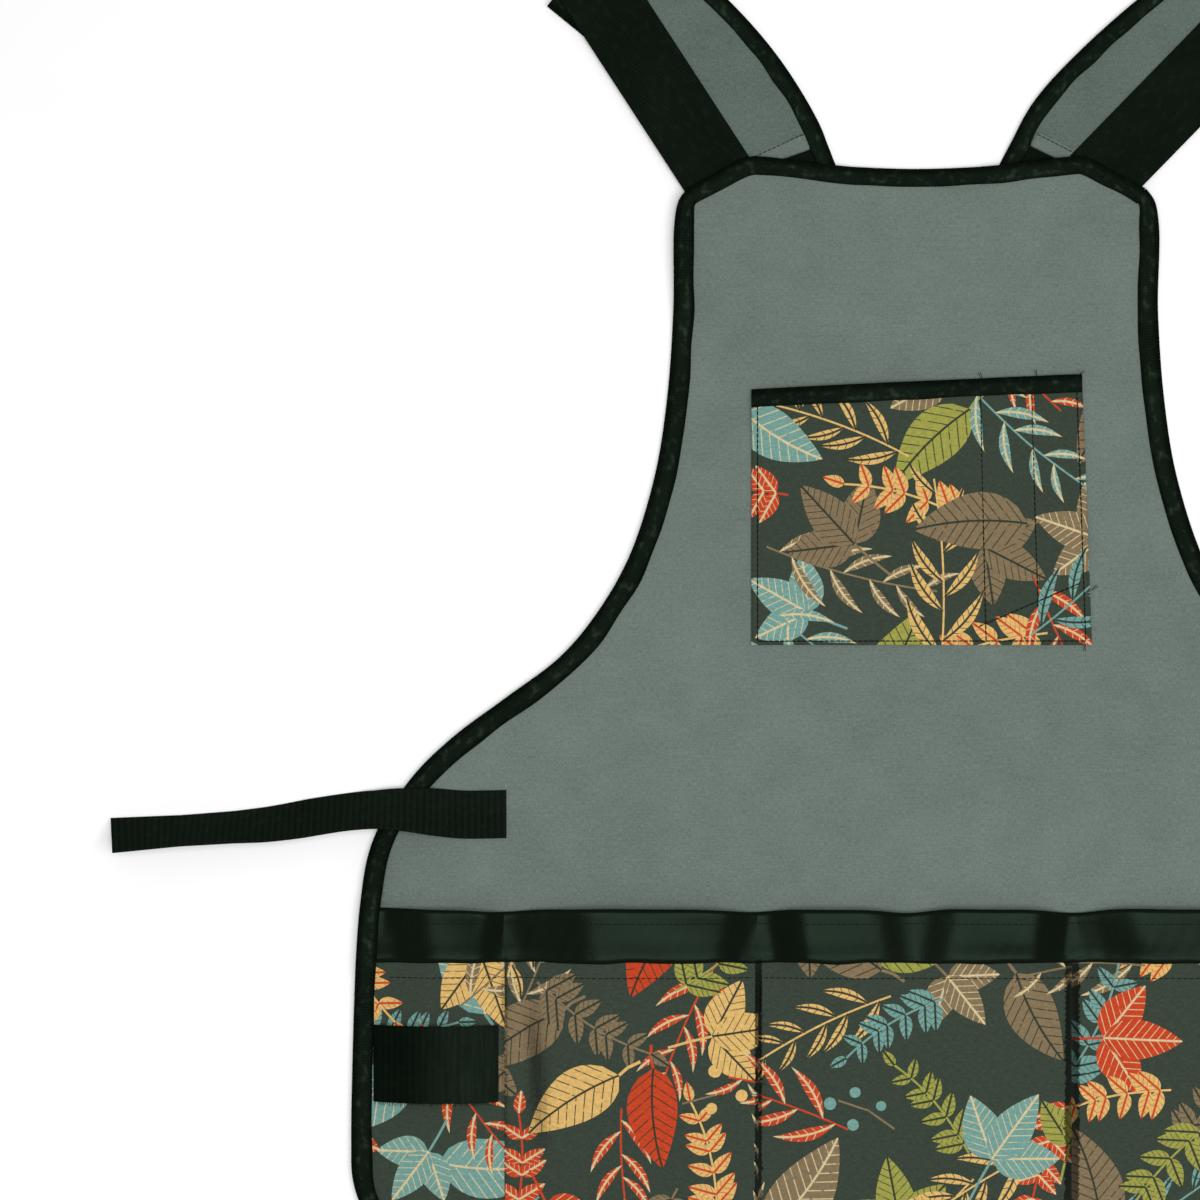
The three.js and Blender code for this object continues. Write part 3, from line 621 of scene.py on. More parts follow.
# the pockets along the hem
pockets = {
    "mouth": 392.3, "bandFoot": 421.0, "slitFoot": 556.0, "foot": 572.5, "edge": 287.0, "sewnSide": 4.0,
    "thick": 1.0, "grid": 3.0, "gridReach": 288, "cutBelow": 3.5,  # cut this far below the band's fold
    "cells": [  # from, to, stands off, bound side, mouth as shares across and up
        (-277, -214, 6.4, -1, [(0.0, 0), (0.32, 1), (0.86, 1), (0.98, 0)]),
        (-214, -82, 8, 0, [(0.03, 0), (0.32, 1), (0.86, 1), (0.985, 0)]),
        (-82, 81, 8.5, 0, [
            (0.04, 0), (0.13, 1), (0.37, 1), (0.465, 0.4), (0.53, 0.4), (0.63, 1), (0.9, 1), (0.98, 0),
        ]),
        (81, 214, 8, 0, [(0.02, 0), (0.25, 1), (0.8, 1), (0.97, 0)]),
        (214, 277, 6.4, 1, [(0.02, 0), (0.14, 1), (0.68, 1), (1, 0)]),
    ],
    "slits": [  # x, half width, and the painted shade on its ground: the print is darkened there in place of the slit's shadow
        (-214, 1.6, 1.0), (-82, 2.0, 0.25), (81, 4.2, 0.25), (214, 1.6, 1.0),
    ],
    "rows": [  # down, base, swell, pleat
        (392.3, 1.6, 1, 0), (421, 1.6, 0.97, 0.1), (433, 0.7, 0.92, 0.55), (466, 0.4, 0.74, 0.55),
        (506, 0.4, 0.46, 0.5), (546, 0.4, 0.14, 0.5), (563, 0.4, 0, 0), (572.5, 0.4, 0, 0),
    ],
    "hiddenPleat": 26.0, "lean": 0.13, "leanOver": 40,
    "softCorner": 4.5,  # the corners of the mouth are rounded over this
    "loose": 0.35, "looseWave": (44, 21), "looseFrom": (0.5, 3),  # waves where it stands off
    # the crease's shade is painted shade: the print is darkened along the fold where its shadow falls
    "crease": {
        "top": (-200.5, 426), "foot": (-195.0, 520), "deep": 3.2, "most": 0.8, "half": 4.0, "shade": 0.5,
    },
    "print": {"left": -380, "right": 380, "top": 380, "bottom": 580, "seed": 14, "cell": 43},
}
dividers = [slit[0] for slit in pockets["slits"]]


def pocketEdge(down):
    return outerHalf(down) - panel["inset"] - pockets["sewnSide"]


def clothX(x, down):
    last = dividers[-1]
    past = np.maximum(np.abs(x) - last, 0) * ((pockets["edge"] - last) / (pocketEdge(down) - last))
    return np.sign(x) * (np.minimum(np.abs(x), last) + past)


# how far into the soft crease beside the left divider a point lies, from 0 to 1
def creaseAt(at, down):
    crease = pockets["crease"]
    (topX, topDown), (footX, footDown) = crease["top"], crease["foot"]
    share = (down - topDown) / (footDown - topDown)
    return hump(at - mix(topX, footX, share), crease["half"]) * smooth(share, 0, 0.4) * fall(share, 0.7, 0.4)


def pocketTop(x, down):
    x, down = paired(x, down)
    at = clothX(x, down)
    base, swell, pleat = (readRows(pockets["rows"], n, down) for n in (1, 2, 3))
    leaning = pockets["lean"] * (down - pockets["mouth"])
    leaning = leaning * fall(down, pockets["bandFoot"], pockets["leanOver"])
    height = np.zeros(at.shape)
    for start, end, stand, bound, mouth in pockets["cells"]:
        wide = end - start
        u = np.clip((at - start) / wide, 0, 1)
        fromBound = u if bound < 0 else 1 - u if bound > 0 else 1.0
        flatTop = pleat * smooth(fromBound, 0, 0.5)
        lean = leaning / wide * np.sign(0.5 - u)
        bends = np.linspace(-pockets["softCorner"], pockets["softCorner"], 7) / wide
        shape = np.mean([np.interp(u - lean + bend, *zip(*mouth)) for bend in bends], 0)
        arch = stand * swell * mix(mix(np.sin(math.pi * u) ** 0.8, shape, swell**2), 1, flatTop)
        height = np.where((at >= start) & (at <= end), arch, height)
    for middle, half, _ in pockets["slits"]:
        height = height * smooth(np.abs(at - middle), 0.1 * half, half)
    crease = pockets["crease"]
    height = height - np.minimum(crease["deep"] * creaseAt(at, down), crease["most"] * height)
    loose = pockets["loose"] * swell * ripples(at, down, *pockets["looseWave"])
    loose = loose * smooth(height, *pockets["looseFrom"])
    return canvasTop(x, down) + base + height + loose + pockets["thick"]


# leaves of the print: outlines in the cloth's own flat millimetres
palette = {
    "ground": tone(56, 65, 55),
    "rust": tone(188, 66, 36),
    "sand": tone(212, 174, 106),
    "blue": tone(110, 152, 144),
    "lime": tone(150, 150, 72),
    "taupe": tone(126, 109, 82),
    "pale": tone(206, 188, 144),
    "dark": tone(48, 56, 46),
}
habits = [  # leaf, vein
    ("rust", "pale"), ("blue", "dark"), ("sand", "rust"), ("taupe", "dark"), ("lime", "dark"),
    ("rust", "dark"), ("blue", "pale"), ("taupe", "pale"), ("sand", "dark"),
]


def leafOutline(kind, long, wide, bend):
    u = np.linspace(0, 1, 13)
    profile = {
        "egg": np.sin(math.pi * u**0.72) ** 0.85,
        "lance": np.sin(math.pi * u**0.9) ** 1.1,
        "round": np.sqrt(np.clip(4 * u * (1 - u), 0, 1)),
    }[kind]
    v = profile * wide / 2
    middle = bend * long * 4 * u * (1 - u)
    return np.vstack([table([u * long, middle - v]), table([u * long, middle + v])[-2:0:-1]])


def turned(points, angle, shift):
    c, s = math.cos(angle), math.sin(angle)
    return points @ np.array([[c, s], [-s, c]]) + shift


# one leaf: outline, stalk point, angle, length and bend for the veins, colours and vein gap
def leafAt(kind, at, angle, long, wide, colours, gap, bend=0.0):
    outline = turned(leafOutline(kind, long, wide, bend), angle, at)
    return dict(outline=outline, at=at, angle=angle, long=long, bend=bend, colours=colours, gap=gap)


def stalk(line, width, colour):
    side = sideWays(line) * (width / 2)
    outline = np.vstack([line + side, (line - side)[::-1]])
    return dict(outline=outline, at=line[0], angle=0, long=1, bend=0, colours=(colour, colour), gap=0)


def broadLeaf(at, angle, size, colours):
    tip = turned(np.array([[-14, 0], [-6, 1], [0, 0]]) * size / 60, angle, at)
    return [stalk(tip, 1.6, colours[0]), leafAt("egg", at, angle, size, size * 0.5, colours, 5.5, 0.05)]


def roundSprig(at, angle, size, colours):
    t = np.linspace(0, 1, 12)
    line = turned(table([t * size, 0.1 * size * np.sin(2.4 * t)]), angle, at)
    leaves = [stalk(line, 1.1, colours[0])]
    for share in np.linspace(0.1, 0.88, 6):
        long = size * mix(0.27, 0.17, share)
        for turn in (-1.0, 1.0):
            leaves.append(leafAt("egg", line[int(share * 11)], angle + turn, long, long * 0.5, colours, 3.0))
    leaves.append(leafAt("egg", line[-1], angle + 0.1, size * 0.17, size * 0.09, colours, 3.0))
    return leaves


def willowSprig(at, angle, size, colours):
    t = np.linspace(0, 1, 14)
    line = turned(table([t * size, -0.14 * size * t**2]), angle, at)
    leaves = [stalk(line, 1.0, colours[0])]
    for n, share in enumerate(np.linspace(0.1, 0.95, 9)):
        side = 1 if n % 2 else -1
        long = size * mix(0.38, 0.22, share)
        spot, turn = line[int(share * 13)], angle + side * 0.62 - 0.2 * share
        leaves.append(leafAt("lance", spot, turn, long, long * 0.2, colours, 4.2, side * 0.08))
    return leaves


def trefoil(at, angle, size, colours):
    tail = turned(np.array([[-0.4, 0.05], [-0.2, 0.02], [0, 0]]) * size, angle, at)
    turns = ((-0.95, 0.56), (0.95, 0.56), (0.0, 0.66))
    leaves = [leafAt("egg", at, angle + turn, size * long, size * 0.34, colours, 4.2) for turn, long in turns]
    return [stalk(tail, 1.3, colours[0])] + leaves


def berries(at, angle, size, colours):
    twig = turned(np.array([[0, 0], [0.4, 0.06], [0.8, 0]]) * size, angle, at)
    found = [stalk(twig, 1.0, "taupe")]
    for share, side, big in ((0.25, 1, 0.13), (0.45, -1, 0.15), (0.62, 1, 0.14), (0.8, -0.4, 0.16)):
        spot = turned(np.array([[share * size, side * 0.13 * size]]), angle, at)[0]
        found.append(leafAt("round", spot, angle + side, big * size, big * size, colours, 0))
    return found


motifs = [
    willowSprig, broadLeaf, roundSprig, trefoil, willowSprig, broadLeaf,
    trefoil, roundSprig, willowSprig, berries, broadLeaf,
]
motifSizes = {broadLeaf: 56, willowSprig: 88, roundSprig: 64, trefoil: 56, berries: 40}


def scatterLeaves(left, right, top, bottom, seed, cell):
    random = np.random.default_rng(seed)
    leaves = []
    spots = []
    for j, down in enumerate(np.arange(top - cell, bottom + cell, cell * 0.9)):
        for x in np.arange(left - cell, right + cell, cell):
            spotX = x + (j % 2) * cell / 2 + random.uniform(-0.2, 0.2) * cell
            spots.append((spotX, down + random.uniform(-0.2, 0.2) * cell))
    for turn, n in enumerate(random.permutation(len(spots))):
        motif = motifs[turn % len(motifs)]
        size = motifSizes[motif] * random.uniform(0.85, 1.15)
        angle = random.uniform(-math.pi, math.pi)
        at = np.array(spots[n]) - 0.5 * size * np.array([math.cos(angle), math.sin(angle)])
        leaves += motif(at, angle, size, habits[(turn * 4 + turn // len(habits)) % len(habits)])
    return leaves


# the outlines of the cloth's regions, then of the leaves that reach each region
def printedShapes(regions):
    shapes = [(region["outline"], None, n) for n, region in enumerate(regions)]
    for n, region in enumerate(regions):
        low, high = region["outline"].min(0), region["outline"].max(0)
        for leaf in region["leaves"]:
            outline = leaf["outline"] - (region["shift"], 0)
            if (outline.max(0) > low).all() and (outline.min(0) < high).all():
                area = np.cross(outline, np.roll(outline, -1, 0)).sum()
                shapes.append((outline if area > 0 else outline[::-1], leaf, n))
    return shapes


# cloth cut along its printed shapes, so that each printed edge is crisp
def printedCloth(name, regions, topOf, columns, rowStep, paintedShadeOf, thick):
    shapes = printedShapes(regions)
    corners, faces = [], []
    for outline, _, _ in shapes:
        faces.append(list(range(len(corners), len(corners) + len(outline))))
        corners.extend(outline.tolist())
    edges = np.concatenate([region["outline"][:, 1] for region in regions])
    rows = np.arange(edges.min() + rowStep, edges.max(), rowStep)
    corners.extend([float(x), float(down)] for down in rows for x in columns)
    found, _, triangles, _, _, origin = delaunay_2d_cdt(corners, [], faces, 0, 1e-4)
    flat = np.array([tuple(p) for p in found])
    kept, tints, veins, spots = [], [], [], []
    for triangle, sources in zip(triangles, origin):
        homes = [n for n in sources if n < len(regions)]
        if not homes:
            continue
        home = homes[0]
        leaves = [n for n in sources if n >= len(regions) and shapes[n][2] == home]
        triangle = list(triangle)
        # painted shade: each face's print colours are multiplied by the shade given for its middle
        shade = paintedShadeOf(*flat[triangle].mean(0))
        if leaves:
            leaf = shapes[max(leaves)][1]
            local = turned(flat[triangle] + (regions[home]["shift"], 0) - leaf["at"], -leaf["angle"], 0)
            u = np.clip(local[:, 0] / leaf["long"], 0, 1)
            local[:, 1] -= leaf["bend"] * leaf["long"] * 4 * u * (1 - u)
            spots += [(a * mm, b * mm, leaf["gap"] * mm) for a, b in local]
            tint, vein = (palette[c] for c in leaf["colours"])
        else:
            spots += [(0, 0, 0)] * 3
            tint = vein = palette["ground"]
        tints.append([c * shade for c in tint[:3]] + [1])
        veins.append([c * shade for c in vein[:3]] + [1])
        kept.append(triangle)
    kept = np.array(kept)
    area = np.cross(flat[kept[:, 1]] - flat[kept[:, 0]], flat[kept[:, 2]] - flat[kept[:, 0]])
    wrong = area > 0  # down runs against Y, so a face that points up is clockwise here
    kept[wrong] = kept[wrong][:, ::-1]
    spots = np.array(spots).reshape(-1, 3, 3)
    spots[wrong] = spots[wrong][:, ::-1]
    used, kept = np.unique(kept, return_inverse=True)
    flat, kept = flat[used], kept.reshape(-1, 3)
    points, faces = wallUnder(place(*flat.T, topOf(*flat.T)), kept.tolist(), thick)
    mesh = meshPiece(name, points, faces).data
    plain = [list(palette["ground"])] * (len(faces) - len(kept))
    for key, values in (("leafTint", tints), ("veinTint", veins)):
        layer = mesh.attributes.new(key, "FLOAT_COLOR", "FACE")
        layer.data.foreach_set("color", np.array(values + plain, np.float32).ravel())
    layer = mesh.attributes.new("leafPlace", "FLOAT_VECTOR", "CORNER")
    leafPlaces = np.zeros((len(mesh.loops), 3), np.float32)
    leafPlaces[: len(kept) * 3] = spots.reshape(-1, 3)
    layer.data.foreach_set("vector", leafPlaces.ravel())
    print(name, "has", len(faces), "faces")


def pocketRegions():
    leaves = scatterLeaves(**pockets["print"])
    stops = [-pockets["edge"]] + dividers + [pockets["edge"]]
    downs = np.linspace(pockets["mouth"] + pockets["cutBelow"], pockets["foot"], 64)
    across = np.linspace(0, 1, 30)[1:-1]
    found = []
    for n, (start, end) in enumerate(zip(stops, stops[1:])):
        leftX = -pocketEdge(downs) if n == 0 else 0 * downs + start
        rightX = pocketEdge(downs) if n == len(dividers) else 0 * downs + end
        upper = table([mix(leftX[0], rightX[0], across), 0 * across + downs[0]])
        lower = table([mix(rightX[-1], leftX[-1], across), 0 * across + downs[-1]])
        right, left = table([rightX, downs]), table([leftX, downs])[::-1]
        outline = np.vstack([upper, right, lower, left])
        found.append({"outline": outline, "leaves": leaves, "shift": (n - 2) * pockets["hiddenPleat"]})
    return found


# painted shade: the print's colours are darkened deep in the two inner slits and along the crease, where
# shadow falls
def pocketPaintedShade(x, down):
    at = float(clothX(x, down))
    for middle, half, shade in pockets["slits"]:
        if abs(at - middle) < half * 0.9 and down < pockets["slitFoot"]:
            return shade
    return 1 - (1 - pockets["crease"]["shade"]) * float(creaseAt(at, down))


# closer together in the slits
def pocketColumns():
    columns = np.arange(-pockets["gridReach"], pockets["gridReach"] + 1, pockets["grid"])
    shares = np.array([-1.35, -1, -0.75, -0.5, -0.25, 0, 0.25, 0.5, 0.75, 1, 1.35])
    for middle, half, _ in pockets["slits"]:
        columns = np.concatenate([columns[np.abs(columns - middle) > half + 1.5], middle + half * shares])
    return np.sort(columns)


printedCloth(
    "pocketCloth", pocketRegions(), pocketTop, pocketColumns(), pockets["grid"],
    pocketPaintedShade, pockets["thick"],
)
lay("pocketCloth", "pocket_panel", "print_cloth", leafPrint, (610, 182), ["canvasPanel"], area=0.1075)
print("pocket cloth made")

# chest pocket
chest = {
    "left": -85.6, "rightTop": 86.3, "rightFoot": 91.5, "topLeft": 121.4, "topRight": 113.4, "foot": 254.3,
    "thick": 1.0, "grid": 2.6, "gridReach": (-84, 92), "loose": 0.15, "looseWave": (30, 31),
    "cells": [(0, 0.69, 3.2, 1.5), (0.69, 0.845, 1.4, 0), (0.845, 1, 1.4, 0)],  # from, to, stands off, level
    "rows": [  # share, base, swell
        (0, 1.6, 1), (0.075, 1.6, 1), (0.15, 0.7, 0.97), (0.4, 0.4, 0.8), (0.7, 0.4, 0.4), (1, 0.4, 0),
    ],
    "print": {"left": -120, "right": 120, "top": 110, "bottom": 260, "seed": 35, "cell": 44},
}


def chestPoint(across, row):
    right = mix(chest["rightTop"], chest["rightFoot"], row)
    mouth = mix(chest["topLeft"], chest["topRight"], across) + panel["inset"]
    x, down = mix(chest["left"], right, across), mix(mouth, chest["foot"], row)
    return np.stack(np.broadcast_arrays(x, down), -1)


def chestShares(x, down):
    row = np.zeros(np.shape(x))
    for _ in range(4):
        across = (x - chest["left"]) / (mix(chest["rightTop"], chest["rightFoot"], row) - chest["left"])
        mouth = mix(chest["topLeft"], chest["topRight"], across) + panel["inset"]
        row = np.clip((down - mouth) / (chest["foot"] - mouth), 0, 1)
    return np.clip(across, 0, 1), row


def chestTop(x, down):
    x, down = paired(x, down)
    across, row = chestShares(x, down)
    under = canvasTop(x, down)
    base, swell = (readRows(chest["rows"], n, row) for n in (1, 2))
    height = np.zeros(x.shape)
    for start, end, stand, level in chest["cells"]:
        u = np.clip((across - start) / (end - start), 0, 1)
        arch = (stand + np.maximum(level - under, 0)) * swell * np.sin(math.pi * u) ** 0.8
        height = np.where((across >= start) & (across <= end), arch, height)
    return under + base + height + chest["loose"] * ripples(x, down, *chest["looseWave"]) + chest["thick"]


def chestRegion():
    across = np.linspace(0, 1, 56)
    row = np.linspace(0, 1, 46)[1:-1]
    upper, right = chestPoint(across, 0), chestPoint(1, row)
    lower, left = chestPoint(across[::-1], 1), chestPoint(0, row[::-1])
    outline = np.vstack([upper, right, lower, left])
    return [{"outline": outline, "leaves": scatterLeaves(**chest["print"]), "shift": 0}]


printedCloth(
    "chestPocket", chestRegion(), chestTop, np.arange(*chest["gridReach"], chest["grid"]), chest["grid"],
    lambda x, down: 1.0, chest["thick"],
)
lay("chestPocket", "chest_pocket", "print_cloth", leafPrint, (178, 142), ["canvasPanel"])
print("chest pocket made")

# binding round the canvas, in four runs that meet under the waist straps and at the bib's corners
cut = int(np.searchsorted(sideEdge[:, 1], tape["joint"]))
armhole, skirtSide = sideEdge[: cut + 1], sideEdge[cut:]
skirt = np.vstack([skirtSide * mirror, hemEdge[1:-1], skirtSide[::-1]])
bindings = {  # edge, node, seam from the inner edge, pucker, seed
    "bindingTop": (topEdge[::-1], "binding_top", 1.4, 0.42, 41),
    "bindingArmholeLeft": (armhole * mirror, "binding_armhole_left", 1.6, 0.3, 42),
    "bindingArmholeRight": (armhole[::-1], "binding_armhole_right", 1.6, 0.3, 43),
    "bindingSkirt": (skirt, "binding_skirt", 1.6, 0.26, 44),
}
overPockets = {  # where the edge climbs, above the pocket mouth, and its rise over the band
    "from": 44.0, "length": 22.0, "band": 1.3, "bandFrom": (380, 390), "bandEase": 8,
}


def edgeHigh(x, down):
    rise = np.clip((down - pockets["mouth"] + overPockets["from"]) / overPockets["length"], 0, 1)
    overBand = overPockets["band"] * smooth(down, *overPockets["bandFrom"])
    overBand = overBand * fall(down, pockets["bandFoot"], overPockets["bandEase"])
    return canvasTop(x, down) + rise * (readRows(pockets["rows"], 1, down) + pockets["thick"]) + overBand


# the armhole tapes are narrower where they tuck in at the bib's corners
def bindingFront(name, stations):
    if name == "bindingTop":
        return tape["frontTop"]
    far = np.hypot(np.abs(stations[:, 0]) - sideEdge[0, 0], stations[:, 1] - sideEdge[0, 1])
    return (tape["front"] - tape["tucked"] * hump(far, tape["tuckedOver"]))[:, None]


for name, (line, node, _, pucker, seed) in bindings.items():
    stations = stationsOn(line, tape["step"])
    front = bindingFront(name, stations)
    tapePiece(name, stations, front, tape["lip"], canvasLow, edgeHigh, pucker, seed)
    lay(name, node, "binding", binding, (tape["flat"], lengths(line)[-1]), ["canvasPanel"])
print("edge bindings made")

# band over the pocket mouths and tape over the chest pocket's mouth
band = {
    "front": 26.7, "back": 9.0, "reach": 284.0, "step": 2.0, "pucker": 0.08, "seed": 51,
    "dip": 2.2, "dipHalf": 15.0, "middleDip": -4.0, "wander": 0.35, "wanderWave": (60, 55),
}
chestTape = {"front": 8.0, "back": 6.0, "pucker": 0.3, "seed": 52}


def lowered(topOf, thick):
    return lambda x, down: topOf(x, down) - thick


def makeMouthBand():
    x = np.arange(-band["reach"], band["reach"] + 0.1, band["step"])
    for middle, half, _ in pockets["slits"]:
        x = np.sort(np.concatenate([x[np.abs(x - middle) > half + 1], middle + half * np.linspace(-1, 1, 9)]))
    dips = np.array(dividers + [band["middleDip"]])
    dip = band["dip"] * hump(x[:, None] - dips, band["dipHalf"]).sum(1)
    dip = dip + band["wander"] * ripples(x, 0 * x, *band["wanderWave"])
    stations = table([x, pockets["mouth"] + dip, 0 * x, 0 * x + 1])
    front, lowOf = (band["front"] - dip)[:, None], lowered(pocketTop, pockets["thick"])
    tapePiece("mouthBand", stations, front, band["back"], lowOf, pocketTop, band["pucker"], band["seed"])
    lay("mouthBand", "pocket_band", "band", satin, (40, 590), ["pocketCloth"])


def makeChestTape():
    share = np.linspace(0, 1, 90)
    stations = table([chestPoint(share, 0), 0 * share, 0 * share + 1])
    front, back, pucker, seed = chestTape.values()
    lowOf = lowered(chestTop, chest["thick"])
    tapePiece("chestMouthTape", stations, front, back, lowOf, chestTop, pucker, seed)
    lay("chestMouthTape", "chest_pocket_binding", "binding", binding, (17, 173), ["chestPocket"])


makeMouthBand()
makeChestTape()
print("mouth tapes made")


# straps
def crossOf(way):
    return np.stack([way[..., 1], -way[..., 0], 0 * way[..., 0]], -1)


def makeShoulderStrap(side):
    line = lines[side]
    width, thick = webbing["width"], webbing["thick"]
    high, low = webbing["frontLow"] + thick / 2, thick / 2
    radius = (high - low) / 2
    front = spaced(np.array([line["sewn"], line["fold"]]), webbing["step"])[:-2]
    frontWay = unit(line["away"] * (1, -1))
    outWay = unit(frontWay - unit((line["back"][1] - line["back"][0]) * (1, -1)))
    turn = np.radians(np.linspace(90, -90, 11))[:, None]
    foldThrough = np.append(outWay, 0) * np.cos(turn) + up * np.sin(turn)
    foldMiddle = np.append(line["fold"], low + radius) + foldThrough * radius * (1, -1, 1)
    foldAcross = crossOf(outWay) / (outWay @ frontWay)
    aside = webbing["aside"] * hump(lengths(line["back"]) - lengths(line["pad"])[-1], webbing["asideOver"])
    shifted = line["back"] + sideWays(line["back"]) * webbing[side]["inner"] * aside[:, None]
    back = shifted[2:]
    backWays = unit(np.gradient(shifted, axis=0)[2:] * (1, -1))
    backHigh = np.full(len(back), low)
    if side == "left":  # it crosses over the other strap behind the bib
        toOther = distanceTo(lines["right"]["behind"], *back.T) - width / 2
        backHigh = low + webbing["backLayer"] * fall(toOther, *webbing["crossEase"])
    frontRows, foldRows, backRows = ((len(run), 1) for run in (front, turn, back))
    middle = [table([front, np.full(frontRows, high)]), foldMiddle, table([back, backHigh])]
    across = [np.tile(crossOf(frontWay), frontRows), np.tile(foldAcross, foldRows), -crossOf(backWays)]
    through = [np.tile(up, frontRows), foldThrough, np.tile(-up, backRows)]
    name = "shoulderStrap" + side.title()
    stripPiece(name, np.vstack(middle), np.vstack(across), np.vstack(through), width, thick)
    long = lengths(front)[-1] + lengths(back)[-1] + math.pi * radius
    lay(name, "strap_" + side, "webbing", strapping, (width, long), ["strap_right"] if side == "left" else [])


padSize = {
    "width": 64.0, "low": 1.6, "thick": 1.2, "crown": 1.2, "fill": 0.25, "beforeFold": 13.0,
    "short": {"left": 2.5, "right": 5.5},  # the lower end stops this far above the bib's edge
}
padTape = {
    "lip": 8.0, "flat": 19.5, "raised": 0.1, "pucker": 0.2, "seed": 60,
    "pastHem": 13.0,  # the inner tape runs on past the hem
    "tuckLow": 0.5, "tuckHigh": 1.6, "tuckEase": (2, 9),  # pressed down where it goes under the bib
}
padHem = {
    "front": 6.5, "back": 4.2, "flat": 13.5, "gap": 0.3, "thick": 0.6, "pucker": 0.08, "seed": 66,
    "fromOuter": 2.0, "fromInner": 8.4,  # it starts and ends this far inside the pad's edges
    "seamHalf": 22, "seamRise": 1.35,
}


def padLine(side, past):
    end = lengths(lines[side]["pad"])[-1] + past
    middle = pointsAt(lines[side]["back"], np.linspace(padSize["beforeFold"], end, 90))
    return middle, sideWays(middle) * webbing[side]["inner"]


def makePad(side):
    half = padSize["width"] / 2 - panel["inset"]
    middle, cross = padLine(side, -padSize["short"][side])
    level = np.full(len(middle), padSize["low"] + padSize["thick"] / 2)
    across = table([cross * (1, -1), 0 * level])
    through = np.tile(up, (len(middle), 1))
    pad = "shoulderPad" + side.title()
    stripPiece(
        pad, table([middle, level]), across, through, 2 * half, padSize["thick"], padSize["crown"], 0.0,
    )
    lay(pad, "shoulder_pad_" + side, "canvas", padCanvas)
    makePadHem(side, pad, middle, cross, half)
    for edge, sign in (("Inner", 1), ("Outer", -1)):
        makePadTape(side, pad, edge, sign, half)


def makePadHem(side, pad, middle, cross, half):
    name = "padHem" + side.title()
    start, end = padHem["fromOuter"] - half, half - padHem["fromInner"]
    shares = np.linspace(start, end, 26)[:, None]
    inWays = np.tile(unit(middle[-2] - middle[-1]), (len(shares), 1))
    stations = np.hstack([middle[-1] + cross[-1] * shares, inWays])

    def highOf(x, down):
        return 0 * x + padSize["low"] + padSize["thick"] + padHem["gap"]

    lowOf = lowered(highOf, padHem["thick"])
    front, back = padHem["front"], padHem["back"]
    tapePiece(name, stations, front, back, lowOf, highOf, padHem["pucker"], padHem["seed"])
    lay(name, None, "canvas", canvas, (padHem["flat"], end - start), [pad])


def makePadTape(side, pad, edge, sign, half):
    name = "padTape" + edge + side.title()
    middle, cross = padLine(side, padTape["pastHem"] if sign > 0 else 0)
    stations = table([middle + sign * cross * half, -sign * cross])
    low, lip = padSize["low"] + padTape["raised"], padTape["lip"]

    def tuck(x, down):
        return fall(distanceTo(edgeLine, x, down), *padTape["tuckEase"])

    def lowOf(x, down):
        return low - padTape["tuckLow"] * tuck(x, down)

    def highOf(x, down):
        return low + padSize["thick"] - padTape["tuckHigh"] * tuck(x, down)

    tapePiece(name, stations, lip, lip, lowOf, highOf, padTape["pucker"], padTape["seed"] + sign)
    node = f"pad_binding_{edge.lower()}_{side}"
    lay(name, node, "binding", binding, (padTape["flat"], lengths(middle)[-1]), [pad])


for side in lines:
    makeShoulderStrap(side)
    makePad(side)
print("shoulder straps made")

waist = {
    "width": 25.0, "thick": 1.3, "steps": 18, "fineStep": 1.7, "clear": 0.2, "overTape": 1.6,
    "cut": 0.13, "cutOver": (370, 417), "boxRise": 0.12,
    "nearby": 13.0,  # the strap is stiff, so it also clears what lies this far along it
    "rows": [  # x, down, tip in degrees
        (-213, 342.2, 0), (-236, 342.4, 2), (-251, 340.8, 14), (-266, 339.4, 30), (-281, 339.4, 41),
        (-298, 341.2, 42), (-317, 344.2, 41), (-335, 347, 46), (-354, 348.6, 52), (-382, 350.5, 54),
        (-417.6, 353, 48),
    ],
    "box": [  # x, down of the seam on its sewn end
        (-216, 333.5), (-216, 351.5), (-246, 350), (-246, 332),
        (-216, 333.5), (-246, 350), (-246, 332), (-216, 351.5),
    ],
}
waistPaths = {}


def waistGround(x, down):
    bound = np.where(distanceTo(edgeLine, x, down) < tape["lip"] + panel["inset"], waist["overTape"], 0)
    outside = np.abs(x) > outerHalf(down) + panel["inset"]
    return np.where(outside, 0, canvasTop(x, down) + waist["clear"] + bound)


def waistTip(path):
    rows = np.array(waist["rows"], float)
    return np.radians(np.interp(-path[:, 0], -rows[:, 0], rows[:, 2]))


